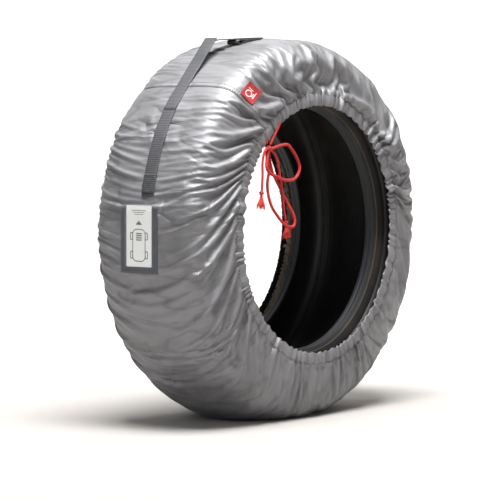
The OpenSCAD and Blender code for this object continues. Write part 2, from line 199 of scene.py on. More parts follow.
@dataclass(frozen=True)
class Cloth(Finish):
    """Woven cloth. UV is in metres on the flat cloth, so its threads run as they were woven.

    thread is drawn coarser than the real 0.25 mm yarn, so that it shows as a fine grain.
    """

    weave: Weave = Weave.PLAIN
    thread: float = 0.0009
    dark: str = "#808286"
    bump: float = 0.25
    crinkle: float = 0.0
    # Each layer of creases: waves per metre, how stretched they are, their bump distance and their strength.
    LAYERS: ClassVar = ((24.0, 0.30, 0.036, 1.0), (85.0, 0.2, 0.006, 0.4), (15.0, 0.8, 0.039, 0.8))

    def material(self) -> Material:
        """Threads as crossed waves, soft colour variation, and small creases in the coating, with painted
        shade in the creases and, on ribbed cloth, between the ribs.
        """
        mat, shader = self.start()
        uv = add(mat, "ShaderNodeUVMap", uv_map="cloth").outputs["UV"]
        coarse = add(mat, "ShaderNodeTexNoise", {"Vector": uv}, in_Scale=9.0, in_Detail=5.0)
        colour = ramp(mat, coarse.outputs["Fac"], [(0.3, self.dark), (0.5, self.base)])
        mat.node_tree.links.new(colour, shader.inputs["Base Color"])
        # A wave texture's bands repeat every 0.314 / scale units.
        scale = 0.314 / self.thread
        warp, weft = (
            add(mat, "ShaderNodeTexWave", {"Vector": uv}, in_Scale=scale, bands_direction=way).outputs["Fac"]
            for way in "XY"
        )
        ribbed = self.weave is Weave.RIBBED
        mixed = add(mat, "ShaderNodeMath", {0: warp, 1: weft}, operation="MAXIMUM" if ribbed else "MULTIPLY")
        if ribbed:
            # Painted shade: the colour is darker in the grooves between the ribs.
            colour = self.multiply(mat, colour, ramp(mat, weft, [(0.1, "#8c8c8c"), (0.75, "#ffffff")]))
            mat.node_tree.links.new(colour, shader.inputs["Base Color"])
        height = mixed.outputs[0]
        bump = add(mat, "ShaderNodeBump", {"Height": height}, in_Strength=self.bump, in_Distance=0.0005)
        normal = bump.outputs["Normal"]
        if self.crinkle:
            normal, crease_shade = self.creases(mat, uv, normal)
            # Painted shade: the colour is darkened at the bottoms of the creases, where shade falls.
            shade = ramp(mat, crease_shade, [(0.0, "#e3e2e1"), (0.06, "#ffffff")])
            mat.node_tree.links.new(self.multiply(mat, colour, shade), shader.inputs["Base Color"])
        mat.node_tree.links.new(normal, shader.inputs["Normal"])
        return mat

    @staticmethod
    def multiply(mat: Material, one: Socket, other: Socket) -> Socket:
        """The product of two colours."""
        mix = add(mat, "ShaderNodeMix", {6: one, 7: other}, data_type="RGBA", blend_type="MULTIPLY", in_0=1.0)
        return mix.outputs[2]

    def creases(self, mat: Material, uv: Socket, normal: Socket) -> tuple[Socket, Socket]:
        """Adds the coating's creases: long ones across the strip, sharp at the bottom, and small crumples.

        Args:
            mat: the material.
            uv: the cloth coordinates.
            normal: the normal to build on.

        Returns:
            the creased normal, and how far each place is from a crease, from 0 to about 0.3, which drives the
            painted shade in the creases.
        """
        crease_shade = None
        # Creases come in patches, and the pulled cloth above 0.42 to 0.56 m has fewer.
        where = add(mat, "ShaderNodeTexNoise", {"Vector": uv}, in_Scale=7.0, in_Detail=1.0).outputs["Fac"]
        patch = add(mat, "ShaderNodeMapRange", {"Value": where}, in_From_Min=0.42, in_From_Max=0.68)
        place = add(mat, "ShaderNodeTexCoord").outputs["Object"]
        height = add(mat, "ShaderNodeSeparateXYZ", {"Vector": place}).outputs["Z"]
        low = add(mat, "ShaderNodeMapRange", {"Value": height}, in_From_Min=0.42, in_From_Max=0.56,
                  in_To_Min=1.0, in_To_Max=0.22)
        patch = add(mat, "ShaderNodeMath", {0: patch.outputs[0], 1: low.outputs[0]}, operation="MULTIPLY")
        for scale, along, deep, strength in self.LAYERS:
            long = add(mat, "ShaderNodeMapping", {"Vector": uv}, in_Scale=(1.0, along, 1.0))
            noise = add(mat, "ShaderNodeTexNoise", {"Vector": long.outputs[0]}, in_Scale=scale, in_Detail=2.5,
                        in_Distortion=0.5)
            fold = add(mat, "ShaderNodeMath", {0: noise.outputs["Fac"]}, in_1=0.5, operation="SUBTRACT")
            sharp = add(mat, "ShaderNodeMath", {0: fold.outputs[0]}, operation="ABSOLUTE")
            sockets = {0: sharp.outputs[0], 1: patch.outputs[0]}
            height = add(mat, "ShaderNodeMath", sockets, operation="MULTIPLY")
            bump = add(mat, "ShaderNodeBump", {"Height": height.outputs[0], "Normal": normal},
                       in_Strength=self.crinkle * strength, in_Distance=deep)
            normal = bump.outputs["Normal"]
            crease_shade = crease_shade or sharp.outputs[0]
        return normal, crease_shade


@dataclass(frozen=True)
class Rubber(Finish):
    """Tyre rubber: matt black, with a dusty bloom and fine moulding grain in it."""

    bloom: str = "#2c2b29"
    grain: float = 600.0
    cloud: float = 14.0
    seat: str = ""

    def material(self) -> Material:
        """Bloom as large soft noise in the colour, grain as small noise in the bump, and a painted highlight
        on the seat where one is given.
        """
        mat, shader = self.start()
        where = add(mat, "ShaderNodeTexCoord").outputs["Object"]
        cloud = add(mat, "ShaderNodeTexNoise", {"Vector": where}, in_Scale=self.cloud, in_Detail=6.0)
        colour = ramp(mat, cloud.outputs["Fac"], [(0.44, self.base), (0.66, self.bloom)])
        if self.seat:
            # The part of the foot that sits on a rim, up to the heel, 87 mm off centre, gets a painted
            # highlight: a lighter colour where it catches the light.
            apart = add(mat, "ShaderNodeSeparateXYZ", {"Vector": where})
            off = add(mat, "ShaderNodeMath", {0: apart.outputs["Y"]}, operation="ABSOLUTE")
            inside = add(mat, "ShaderNodeMath", {0: off.outputs[0]}, in_1=0.0872, operation="LESS_THAN")
            sockets = {0: inside.outputs[0], 6: colour}
            colour = add(mat, "ShaderNodeMix", sockets, data_type="RGBA", in_7=srgb(self.seat)).outputs[2]
        mat.node_tree.links.new(colour, shader.inputs["Base Color"])
        grit(mat, shader, where, self.grain, 2.0, 0.25, 0.4 * MM)
        return mat


@dataclass(frozen=True)
class Plain(Finish):
    """A moulded, printed or plated surface: one colour with a faint unevenness."""

    scale: float = 300.0
    uneven: float = 0.08
    alpha: float = 1.0

    def material(self) -> Material:
        """Fine noise in the bump, so that the gloss isn't perfect."""
        mat, shader = self.start()
        shader.inputs["Alpha"].default_value = self.alpha
        where = add(mat, "ShaderNodeTexCoord").outputs["Object"]
        grit(mat, shader, where, self.scale, 3.0, self.uneven, 0.5 * MM)
        return mat


class Palette:
    """Every finish of the object, made once."""

    def __init__(self) -> None:
        """Builds the materials by the name of what they are."""
        rib = Weave.RIBBED
        # Polyester taffeta with a silver polyurethane coating: satin, cool grey, crinkles sharply.
        silver = Cloth(
            "silver coated polyester", "#88888b", 0.47, 0.28, 0.45, dark="#767678", crinkle=1.0, bump=0.18
        )
        self.silver = silver.material()
        # The same cloth's uncoated back: matt and warmer.
        self.reverse = Cloth("uncoated polyester back", "#b3a898", 0.85, dark="#988d80", bump=0.3).material()
        # Narrow woven elastic, ruched.
        elastic = Cloth("black woven elastic", "#111112", 0.8, dark="#0b0b0c", thread=0.0014, bump=0.6)
        self.elastic = elastic.material()
        # Polypropylene webbing: hard ribs across and along.
        webbing = Cloth(
            "grey polypropylene webbing", "#5a5b5f", 0.6, dark="#47484c", weave=rib, thread=0.0032, bump=1.0
        )
        self.webbing = webbing.material()
        binding = Cloth(
            "grey binding tape", "#5d6068", 0.6, dark="#4c4f57", weave=rib, thread=0.0014, bump=0.7
        )
        self.binding = binding.material()
        self.thread = Plain("grey sewing thread", "#77797d", 0.6).material()
        self.dark_thread = Plain("dark sewing thread", "#1e1e20", 0.7).material()
        # Twisted polyester cord: saturated red with a soft sheen.
        cord = Cloth(
            "red twisted polyester cord", "#c41a18", 0.55, sheen=0.05, dark="#8e0d0d", thread=0.0011, bump=0.8
        )
        self.cord = cord.material()
        self.fringe = Plain("frayed red yarn", "#d8322c", 0.6, sheen=0.1).material()
        label = Cloth("red woven label", "#b40f14", 0.6, dark="#930a0e", thread=0.0011, bump=0.8)
        self.label = label.material()
        self.label_mark = Plain("white woven mark", "#f0e9e6", 0.55).material()
        # Tyre rubber is matt with a dusty bloom; the liner is butyl, darker and a little glossier.
        self.rubber = Rubber("tyre rubber", "#161616", 0.72).material()
        self.liner = Rubber("butyl inner liner", "#121212", 0.55, bloom="#3a352e", cloud=5.5).material()
        # The bead's seat colour is a painted highlight.
        self.bead = Rubber("bead rubber", "#191716", 0.62, bloom="#2c2723", seat="#26292d").material()
        self.chafer = Rubber("brown chafer line", "#4a4037", 0.7, bloom="#5a4e42").material()
        self.eyelet = Plain("nickel-plated steel", "#c9cacb", 0.28, 1.0).material()
        self.card = Plain("white card", "#f1f1ee", 0.45).material()
        self.ink = Plain("black ink", "#111113", 0.5).material()
        self.vinyl = Plain("clear vinyl", "#eef2f4", 0.12, alpha=0.10).material()
        self.wire = Plain("brass-coated wire", "#8d7748", 0.35, 1.0).material()


# ---------------------------------------------------------------- meshes


def mesh_object(
    name: str,
    points: np.ndarray,
    faces: np.ndarray,
    material: Material,
    uv: np.ndarray | None = None,
    smooth: bool = True,
) -> bpy.types.Object:
    """Makes a mesh object at the origin.

    Args:
        name: the piece's name.
        points: (n, 3) places in metres.
        faces: (m, 4) or (m, 3) indices, with faces outwards.
        material: its material.
        uv: (n, 2) flat cloth coordinates of the points, in metres.
        smooth: whether it is shaded smooth.

    Returns:
        the object.
    """
    mesh = bpy.data.meshes.new(name)
    points = np.ascontiguousarray(points, np.float32).reshape(-1, 3)
    faces = np.ascontiguousarray(faces, np.int32)
    corners = faces.shape[1]
    mesh.vertices.add(len(points))
    mesh.vertices.foreach_set("co", points.ravel())
    mesh.loops.add(faces.size)
    mesh.loops.foreach_set("vertex_index", faces.ravel())
    mesh.polygons.add(len(faces))
    mesh.polygons.foreach_set("loop_start", np.arange(0, faces.size, corners, dtype=np.int32))
    mesh.polygons.foreach_set("use_smooth", np.full(len(faces), smooth))
    if uv is None:
        uv = points[:, [0, 2]] + points[:, [1, 1]]
    layer = mesh.uv_layers.new(name="cloth")
    layer.data.foreach_set("uv", np.ascontiguousarray(uv[faces.ravel()], np.float32).ravel())
    mesh.materials.append(material)
    mesh.update()
    mesh.validate()
    obj = bpy.data.objects.new(name, mesh)
    bpy.context.scene.collection.objects.link(obj)
    return obj


def piece(
    name: str,
    shape: tuple,
    material: Material,
    body: str = ROOT,
    replaces: tuple | None = None,
    smooth: bool = True,
) -> bpy.types.Object:
    """Makes a piece of the object, puts it on its body and says what it stands for.

    Args:
        name: the piece's name.
        shape: its points and faces, then its UVs where it has its own.
        material: its finish.
        body: the body that it rides on, or nothing, which leaves it on none.
        replaces: the nodes that it stands for; where left out, the node of its own name.
        smooth: whether it is shaded smooth.

    Returns:
        the object.
    """
    obj = mesh_object(name, shape[0], shape[1], material, *shape[2:], smooth=smooth)
    if body:
        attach(obj, body)
    nodes = (name,) if replaces is None else replaces
    if nodes:
        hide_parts(*nodes)
    LOG.info("%s: %d points, %s", name, len(shape[0]), f"on {body}" if body else "blended between two bodies")
    return obj


def grid_faces(rows: int, cols: int, wrap_rows: bool = False, wrap_cols: bool = False) -> np.ndarray:
    """Quads over a grid of points numbered row by row, wrapping round where asked."""
    a = np.arange(rows if wrap_rows else rows - 1)[:, None]
    b = np.arange(cols if wrap_cols else cols - 1)[None, :]
    a2, b2 = (a + 1) % rows, (b + 1) % cols
    quads = np.stack([a * cols + b, a2 * cols + b, a2 * cols + b2, a * cols + b2], -1)
    return quads.reshape(-1, 4)


def halved(quads: np.ndarray) -> np.ndarray:
    """Each quad as two triangles."""
    return np.concatenate([quads[:, [0, 1, 2]], quads[:, [0, 2, 3]]])


def run_of(path: np.ndarray) -> np.ndarray:
    """How far along a line each of its points lies."""
    return np.concatenate([[0], np.cumsum(np.linalg.norm(np.diff(path, axis=0), axis=1))])


def resample(path: np.ndarray, run: np.ndarray, at: np.ndarray) -> np.ndarray:
    """The places on a line at other distances along it."""
    return np.stack([np.interp(at, run, path[:, k]) for k in range(3)], -1)


def uv_grid(u: np.ndarray, v: np.ndarray) -> np.ndarray:
    """The UVs of a grid, from values that broadcast over it."""
    return np.stack(np.broadcast_arrays(u, v), -1).reshape(-1, 2)


def polar(radius: np.ndarray, angle: np.ndarray, y: np.ndarray, axis_z: float) -> np.ndarray:
    """Places from a radius off the tyre's axis, an angle from the top towards -X, and y."""
    return np.stack(np.broadcast_arrays(-radius * np.sin(angle), y, axis_z + radius * np.cos(angle)), -1)


def revolve(profile: np.ndarray, axis_z: float, steps: int = 300) -> Shape:
    """A closed profile (radius, y) turned round the tyre's axis.

    Args:
        profile: (n, 2) points, anticlockwise seen with radius to the right and y up.
        axis_z: the axis's height.
        steps: facets round the ring.

    Returns:
        points, faces, and UVs along the ring and the profile.
    """
    angle = np.linspace(0, TAU, steps, endpoint=False)
    points = polar(profile[None, :, 0], angle[:, None], profile[None, :, 1], axis_z)
    uv = uv_grid(angle[:, None] * profile[:, 0].mean(), run_of(profile)[None, :])
    return points.reshape(-1, 3), grid_faces(steps, len(profile), True, True)[:, ::-1], uv


def rounded(points: np.ndarray, rounds: int = 2, closed: bool = True) -> np.ndarray:
    """Cuts a line's corners in quarters a few times (Chaikin), which rounds it."""
    for _ in range(rounds):
        after = np.roll(points, -1, 0) if closed else points[1:]
        before = points if closed else points[:-1]
        cut = np.stack([0.75 * before + 0.25 * after, 0.25 * before + 0.75 * after], 1)
        cut = cut.reshape(-1, points.shape[1])
        points = cut if closed else np.concatenate([points[:1], cut, points[-1:]])
    return points


def catmull_rom(a: np.ndarray, b: np.ndarray, c: np.ndarray, d: np.ndarray, t: np.ndarray) -> np.ndarray:
    """The curve between b and c, with a and d beyond them, at shares t of the way."""
    return 0.5 * (2 * b + (c - a) * t + (2 * a - 5 * b + 4 * c - d) * t**2 + (3 * b - a - 3 * c + d) * t**3)


def smooth_path(points: np.ndarray, step: float) -> np.ndarray:
    """A Catmull-Rom curve through points, with rings about step apart."""
    p = np.concatenate([[2 * points[0] - points[1]], points, [2 * points[-1] - points[-2]]])
    parts = []
    for k in range(1, len(p) - 2):
        t = np.linspace(0, 1, 24, endpoint=False)[:, None]
        parts.append(catmull_rom(*p[k - 1 : k + 3], t))
    line = np.concatenate(parts + [points[-1:]])
    run = run_of(line)
    return resample(line, run, np.linspace(0, run[-1], max(4, int(run[-1] / step) + 1)))


def path_frames(path: np.ndarray) -> tuple[np.ndarray, ...]:
    """The tangent and two normals along a path, carried without twist."""
    tangent = np.gradient(path, axis=0)
    tangent /= np.linalg.norm(tangent, axis=1)[:, None]
    normal = np.zeros_like(path)
    first = np.cross(tangent[0], [0.13, 1.0, 0.08])
    normal[0] = first / np.linalg.norm(first)
    for k in range(1, len(path)):
        n = normal[k - 1] - tangent[k] * (normal[k - 1] @ tangent[k])
        normal[k] = n / np.linalg.norm(n)
    return tangent, normal, np.cross(tangent, normal)


def tube(
    path: np.ndarray,
    radius: np.ndarray | float,
    sides: int,
    lobes: int = 0,
    pitch: float = 0.012,
    depth: float = 0.0,
) -> Shape:
    """A tube along a path; with lobes, its section is a rope's strands, turning once each pitch.

    The radius round the section is radius * (1 - depth * (1 - |cos(lobes * turn / 2)|)).

    Args:
        path: (n, 3) ring centres.
        radius: one value or one for each ring.
        sides: points round a ring.
        lobes: strands in the rope.
        pitch: length of one twist.
        depth: how deep the grooves between strands are, as a share of the radius.

    Returns:
        points, faces and UVs, with both ends closed by a point.
    """
    _, n, b = path_frames(path)
    run = run_of(path)
    turn = np.linspace(0, TAU, sides, endpoint=False)[None, :]
    twist = TAU * run[:, None] / pitch
    wall = np.broadcast_to(np.asarray(radius, float).reshape(-1, 1), (len(path), 1))
    wall = wall * (1 - depth * (1 - np.abs(np.cos(lobes * (turn - twist) / 2)))) if lobes else wall + 0 * turn
    ring = (
        path[:, None]
        + wall[..., None] * (np.cos(turn)[..., None] * n[:, None] + np.sin(turn)[..., None] * b[:, None])
    )
    count = ring.shape[0] * sides
    points = np.concatenate([ring.reshape(-1, 3), path[:1], path[-1:]])
    faces = grid_faces(len(path), sides, False, True)[:, ::-1]
    k = np.arange(sides)
    k2 = (k + 1) % sides
    low = np.stack([np.full(sides, count), k2, k], 1)
    top = np.stack([np.full(sides, count + 1), count - sides + k, count - sides + k2], 1)
    uv = uv_grid(turn * wall, run[:, None])
    return points, np.concatenate([halved(faces), low, top]), np.concatenate([uv, uv[:1], uv[-1:]])


def join(parts: list[Shape]) -> Shape:
    """Several (points, faces, UVs) as one, for shapes that are one physical piece."""
    base, points, faces, uvs = 0, [], [], []
    for p, f, u in parts:
        points.append(p)
        faces.append(f + base)
        uvs.append(u)
        base += len(p)
    return np.concatenate(points), np.concatenate(faces), np.concatenate(uvs)


def wave_noise(rng: np.random.Generator, n: int, top: int) -> np.ndarray:
    """Periodic noise over n samples with up to top waves round the ring, and unit spread."""
    k = np.arange(1, top + 1)
    a = rng.normal(size=(2, top))
    t = np.arange(n) / n * TAU
    w = (a[0][:, None] * np.cos(np.outer(k, t)) + a[1][:, None] * np.sin(np.outer(k, t))).sum(0)
    return w / w.std()


# ---------------------------------------------------------------- the frame's sizes


@dataclass
class Layout:
    """Sizes that every sub-assembly shares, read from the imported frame."""

    axis_z: float
    cover_r: float
    half_w: float
    side_r: float
    hem_y: float
    front_r: float
    rear_r: float
    bead_r: float
    knot: np.ndarray
    pocket: tuple
    pocket_x: float

    @classmethod
    def read(cls) -> "Layout":
        """Works the sizes out from the nodes' boxes."""
        side_lo, side_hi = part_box("rear_side_panel")
        band_lo, band_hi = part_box("rear_elastic_band")
        cover_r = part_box("tread_panel")[1][0]
        bead_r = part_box("front_bead_wire")[1][0] - 21 * MM
        return cls(
            axis_z=(side_lo[2] + side_hi[2]) / 2,
            cover_r=cover_r,
            half_w=side_hi[1] - 1.75 * MM,
            side_r=bead_r + 0.46 * (cover_r - 2 * MM - bead_r),
            hem_y=(band_lo[1] + band_hi[1]) / 2,
            front_r=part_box("front_drawcord_casing")[1][0] - 20 * MM,
            rear_r=band_hi[0] - 12 * MM,
            bead_r=bead_r,
            knot=np.array([(a + b) / 2 for a, b in zip(*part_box("bow_knot"))]),
            pocket=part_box("pocket_binding"),
            pocket_x=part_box("pocket_back")[0][0] + 0.4 * MM,
        )


# ---------------------------------------------------------------- gathered fabric


@dataclass
class Strip:
    """The cover's strip of cloth, gathered at both edges and settled over the tyre.

    The strip is a grid, columns round the tyre and rows from the front hem to the rear. Each step moves
    the points on, then puts the cloth's own lengths right (round, across, on both diagonals and over two
    threads against sharp folds), pushes points out of the tyre and off the floor, and holds both hems in
    their pleats. Coarse grids find the big folds first, and finer ones add the small.
    """

    layout: Layout
    length: float = 2.085
    slack: float = 1.008
    levels: tuple = ((720, 60, 90), (720, 110, 120))
    gather: float = 0.62
    hem_share: float = 0.85
    power: float = 5.5
    seed: int = 4
    # The front hem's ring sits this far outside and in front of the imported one, as the fold hides its edge.
    HEM_OUT: ClassVar = 8.2 * MM
    HEM_AHEAD: ClassVar = 7.2 * MM
    # How far the cloth keeps off the tyre and off the floor, and how much it sags in a step.
    PAD: ClassVar = 1.2 * MM
    OFF_FLOOR: ClassVar = 0.3 * MM
    SAG: ClassVar = 0.007 * MM
    # Corrections in one step.
    PASSES: ClassVar = 3

    def section(self) -> tuple[np.ndarray, np.ndarray]:
        """The cover's section (radius, y) from hem to hem, and the run along it."""
        s = self.layout
        phi = np.linspace(-90, 90, 4001)
        phi = np.sign(phi) * 90 * (np.abs(phi) / 90) ** 1.5
        c = np.cos(np.radians(phi)).clip(0, 1)
        sn = np.sin(np.radians(phi))
        r = s.side_r + (s.cover_r - s.side_r) * c ** (2 / self.power)
        y = s.half_w * np.sign(sn) * np.abs(sn) ** (2 / self.power)
        n = 60
        front = np.linspace((s.front_r + 7 * MM, -s.hem_y), (s.side_r, -s.half_w), n)[:-1]
        rear = np.linspace((s.side_r, s.half_w), (s.rear_r + MM, s.hem_y), n)[1:]
        points = np.concatenate([front, np.stack([r, y], 1), rear])
        return run_of(points), points

    def collide(self, p: np.ndarray, pad: float) -> np.ndarray:
        """Pushes points out of the tyre, a rounded box in section with a tapering lower sidewall.

        Returns:
            a mask of the points that touch the tyre.
        """
        s = self.layout
        x, y, z = p[..., 0], p[..., 1], p[..., 2] - s.axis_z
        r = np.hypot(x, z)
        a, b, n = s.cover_r - 2 * MM - s.side_r + pad, s.half_w - 7 * MM + pad, 4.5
        rise = r - s.side_r
        high = rise > 0
        f = (np.abs(rise) / a) ** n * high + (np.abs(y) / b) ** n
        inside = (f < 1) & high
        grow = np.where(inside, f.clip(1e-9) ** (-1 / n), 1.0)
        new_r = np.where(inside, s.side_r + rise * grow, r)
        new_y = np.where(inside, y * grow, y)
        u = ((s.side_r - r) / 0.052).clip(0, 1.2)
        wall = b - 0.019 * u**1.7
        low = ~high & (np.abs(y) < wall)
        p[..., 1] = np.where(low, np.sign(y) * wall, new_y)
        k = new_r / np.maximum(r, 1e-9)
        p[..., 0] = x * k
        p[..., 2] = s.axis_z + z * k
        return inside | low

    def press(self, p: np.ndarray) -> None:
        """Holds the cloth down under the strap, and flat against the back of the card pocket."""
        s = self.layout
        x, y, z = p[..., 0], p[..., 1], p[..., 2] - s.axis_z
        r = np.hypot(x, z)
        angle = np.degrees(np.arctan2(-x, z))
        middle = np.interp(angle, [25, 50, 62, 75], [0.004, 0.0005, -0.006, -0.0115])
        strap = (np.abs(y - middle) < 0.0165) & (angle > 24) & (angle < 80.5)
        ends = (np.abs(y + 0.006) < 0.017) & (angle > 6.5) & (angle < 17)
        k = np.where((strap | ends) & (r > s.cover_r + 0.0002), (s.cover_r + 0.0002) / r, 1.0)
        p[..., 0] = x * k
        p[..., 2] = s.axis_z + z * k
        lo, hi = s.pocket
        near = (x < -0.25) & (y > lo[1] - 0.002) & (y < hi[1] + 0.002)
        near &= (p[..., 2] > lo[2] - 0.002) & (p[..., 2] < hi[2] + 0.002)
        p[..., 0] = np.where(near, s.pocket_x, p[..., 0])

    def settle(self) -> np.ndarray:
        """Runs the solver.

        Returns:
            (columns, rows, 3) places of the cloth.
        """
        s = self.layout
        rng = np.random.default_rng(self.seed)
        run, section = self.section()
        across = run[-1]
        width = across * self.slack
        top = self.levels[-1][0]
        place = np.arange(top) / top

        def gathers(bunches: int) -> tuple[np.ndarray, np.ndarray]:
            g = self.gather + 0.2 * np.tanh(1.3 * wave_noise(rng, top, bunches))
            g *= self.gather / g.mean()
            return g, np.concatenate([[0], np.cumsum(g)[:-1]]) / g.sum() * TAU

        def phases(pleats: int) -> np.ndarray:
            w = (1 + 0.45 * wave_noise(rng, top, 70)).clip(0.35, 2.2)
            c = np.cumsum(w)
            return c / c[-1] * TAU * pleats

        front_g, front_at = gathers(26)
        rear_g, rear_at = gathers(20)
        front_ph, rear_ph = phases(88), phases(76)
        p = None
        for nc, nr, steps in self.levels:
            pick = np.arange(0, top, top // nc)
            v = np.linspace(0, 1, nr)
            dv = width / (nr - 1)
            radius = np.interp(v * across, run, section[:, 0])
            inwards = np.clip((s.cover_r - 0.012 - radius) / (s.cover_r - 0.012 - s.front_r), 0, 1)
            round_rest = self.length / nc * (1 - (1 - self.hem_share) * inwards**0.8)

            def hem(g, at, ph, r0, y0, sign):
                count = max(2, int(round(0.0205 / dv)) + 1)
                out = np.arange(count) * dv
                excess = (self.hem_share * 0.62 / self.gather / g[pick] - 1).clip(0.02, 0.8)
                wave_len = TAU / np.gradient(ph)[pick] * (self.length / top) * g[pick]
                size = (np.sqrt(excess) * wave_len / np.pi * 0.62).clip(0.0004, 0.0042)
                wave = np.sin(ph[pick]) + 0.25 * np.sin(2.3 * ph[pick] + 1)
                y = y0 + sign * (size * wave)[:, None] * (0.8 + 0.2 * out / out[-1])
                r = r0 + out[None, :] + 0.0012 * np.cos(ph[pick])[:, None]
                return polar(r, at[pick][:, None], y, s.axis_z)

            front = hem(front_g, front_at, front_ph, s.front_r + self.HEM_OUT, -s.hem_y - self.HEM_AHEAD, -1)
            rear = hem(rear_g, rear_at, rear_ph, s.rear_r + 0.0015, s.hem_y, 1)[:, ::-1]
            if p is None:
                r0, y0 = radius, np.interp(v * across, run, section[:, 1])
                wf = np.clip(1 - v / 0.3, 0, 1) ** 1.5
                wb = np.clip(1 - (1 - v) / 0.3, 0, 1) ** 1.5
                even = (place[pick] * TAU)[:, None]
                at = even + (front_at[pick][:, None] - even) * wf + (rear_at[pick][:, None] - even) * wb
                lift = 0.0035 + 0.0042 * (
                    np.sin(front_ph[pick])[:, None] * wf + np.sin(rear_ph[pick])[:, None] * wb
                )
                lift = lift + 0.0003 * rng.normal(size=(nc, nr)) + self.ridges(rng, nc, nr)
                lean = np.arctan2(y0 / s.half_w, (r0 - s.side_r) / (s.cover_r - s.side_r))
                lean = np.where(r0 < s.side_r, np.sign(y0) * np.pi / 2, lean)
                p = polar(r0 + lift * np.cos(lean), at, y0 + lift * np.sin(lean), s.axis_z)
            else:
                fine = p
                if nc > len(p):
                    fine = np.empty((nc, p.shape[1], 3))
                    fine[::2], fine[1::2] = p, (p + np.roll(p, -1, 0)) / 2
                j = np.linspace(0, p.shape[1] - 1, nr)
                j0 = np.floor(j).astype(int).clip(0, p.shape[1] - 2)
                f = (j - j0)[None, :, None]
                p = fine[:, j0] * (1 - f) + fine[:, j0 + 1] * f + 0.00005 * rng.normal(size=(nc, nr, 3))
            self.relax(p, steps, round_rest, dv, front, rear)
            LOG.info("cloth level %d x %d settled", nc, nr)
        return p

    def ridges(self, rng: np.random.Generator, nc: int, nr: int) -> np.ndarray:
        """Shallow ridges across the tread, each fading and drifting along its length."""
        v = np.linspace(0, 1, nr)
        total = np.zeros((nc, nr))
        # Where across the strip each set runs and how wide, and its least and most waves round the tyre.
        sets = ((0.28, 0.10, 40, 78), (0.36, 0.12, 30, 64), (0.5, 0.15, 22, 60), (0.62, 0.13, 30, 70),
                (0.45, 0.3, 16, 40))
        for centre, wide, low, high in sets:
            w = wave_noise(rng, 4 * nc, high) - wave_noise(rng, 4 * nc, low) * 0.3
            w = np.sign(w) * np.abs(w) ** 1.3
            drift = rng.uniform(-0.03, 0.03) * nc * (v - 0.5) + nc / 110 * np.sin(5 * v + rng.uniform(0, 6))
            at = ((np.arange(nc)[:, None] + drift[None, :]) * 4).astype(int) % (4 * nc)
            total += w[at] * np.exp(-(((v - centre) / wide) ** 2))
        turn = np.degrees(np.arange(nc) / nc * TAU)
        taut = np.exp(-(((turn - 32) / 30) ** 4))
        return 0.0017 * total * (1 - 0.75 * taut)[:, None]

    def relax(
        self,
        p: np.ndarray,
        steps: int,
        round_rest: np.ndarray,
        dv: float,
        front: np.ndarray,
        rear: np.ndarray,
    ) -> None:
        """Moves the cloth towards rest in place; see the class for the order of the corrections.

        Args:
            p: the cloth's places, which are changed.
            steps: how many steps to take.
            round_rest: the cloth's own length between two columns, for each row.
            dv: the same between two rows.
            front: the places that hold the front hem.
            rear: the same for the rear hem.
        """
        nc, nr = p.shape[:2]
        nf, nb = front.shape[1], rear.shape[1]
        rc = round_rest[None, :, None]
        rd = np.sqrt(((round_rest[1:] + round_rest[:-1]) / 2) ** 2 + dv**2)[None, :, None]
        i = np.arange(nc)
        pairs = [(i[i % 2 == k], (i[i % 2 == k] + 1) % nc) for k in (0, 1)]
        doubles = [(i[i % 4 // 2 == k], (i[i % 4 // 2 == k] + 2) % nc) for k in (0, 1)]
        low, high = np.arange(nr - 1), np.arange(1, nr)
        spans = [np.arange(nr - 2)[np.arange(nr - 2) % 4 // 2 == k] for k in (0, 1)]
        stiff = 0.04 if nc > 400 else 0.10
        touch = np.zeros(p.shape[:2], bool)

        def pull(pa, pb, rest, share, only_push=False):
            gap = pb - pa
            size = np.sqrt((gap * gap).sum(-1, keepdims=True)) + 1e-9
            c = (size - rest) / size
            if only_push:
                c = np.minimum(c, 0)
            return gap * (0.5 * share * c)

        before = p.copy()
        for _ in range(steps):
            speed = (p - before) * np.where(touch, 0.35, 0.93)[..., None]
            before = p.copy()
            p += speed
            p[..., 2] -= self.SAG
            for _ in range(self.PASSES):
                for a, b in pairs:
                    c = pull(p[a], p[b], rc, 1.0)
                    p[a] += c
                    p[b] -= c
                for k in (0, 1):
                    c = pull(p[:, k : nr - 1 : 2], p[:, k + 1 : nr : 2], dv, 1.0)
                    p[:, k : nr - 1 : 2] += c
                    p[:, k + 1 : nr : 2] -= c
                for a, b in pairs:
                    for ja, jb in ((low, high), (high, low)):
                        ia, ib = np.ix_(a, ja), np.ix_(b, jb)
                        c = pull(p[ia], p[ib], rd, 0.35)
                        p[ia] += c
                        p[ib] -= c
                for a, b in doubles:
                    c = pull(p[a], p[b], 2 * rc, stiff, True)
                    p[a] += c
                    p[b] -= c
                for j in spans:
                    c = pull(p[:, j], p[:, j + 2], 2 * dv, 0.2, True)
                    p[:, j] += c
                    p[:, j + 2] -= c
                touch = self.collide(p, self.PAD)
                self.press(p)
                p[:, :nf] = front
                p[:, nr - nb :] = rear
                np.maximum(p[..., 2], self.OFF_FLOOR, out=p[..., 2])


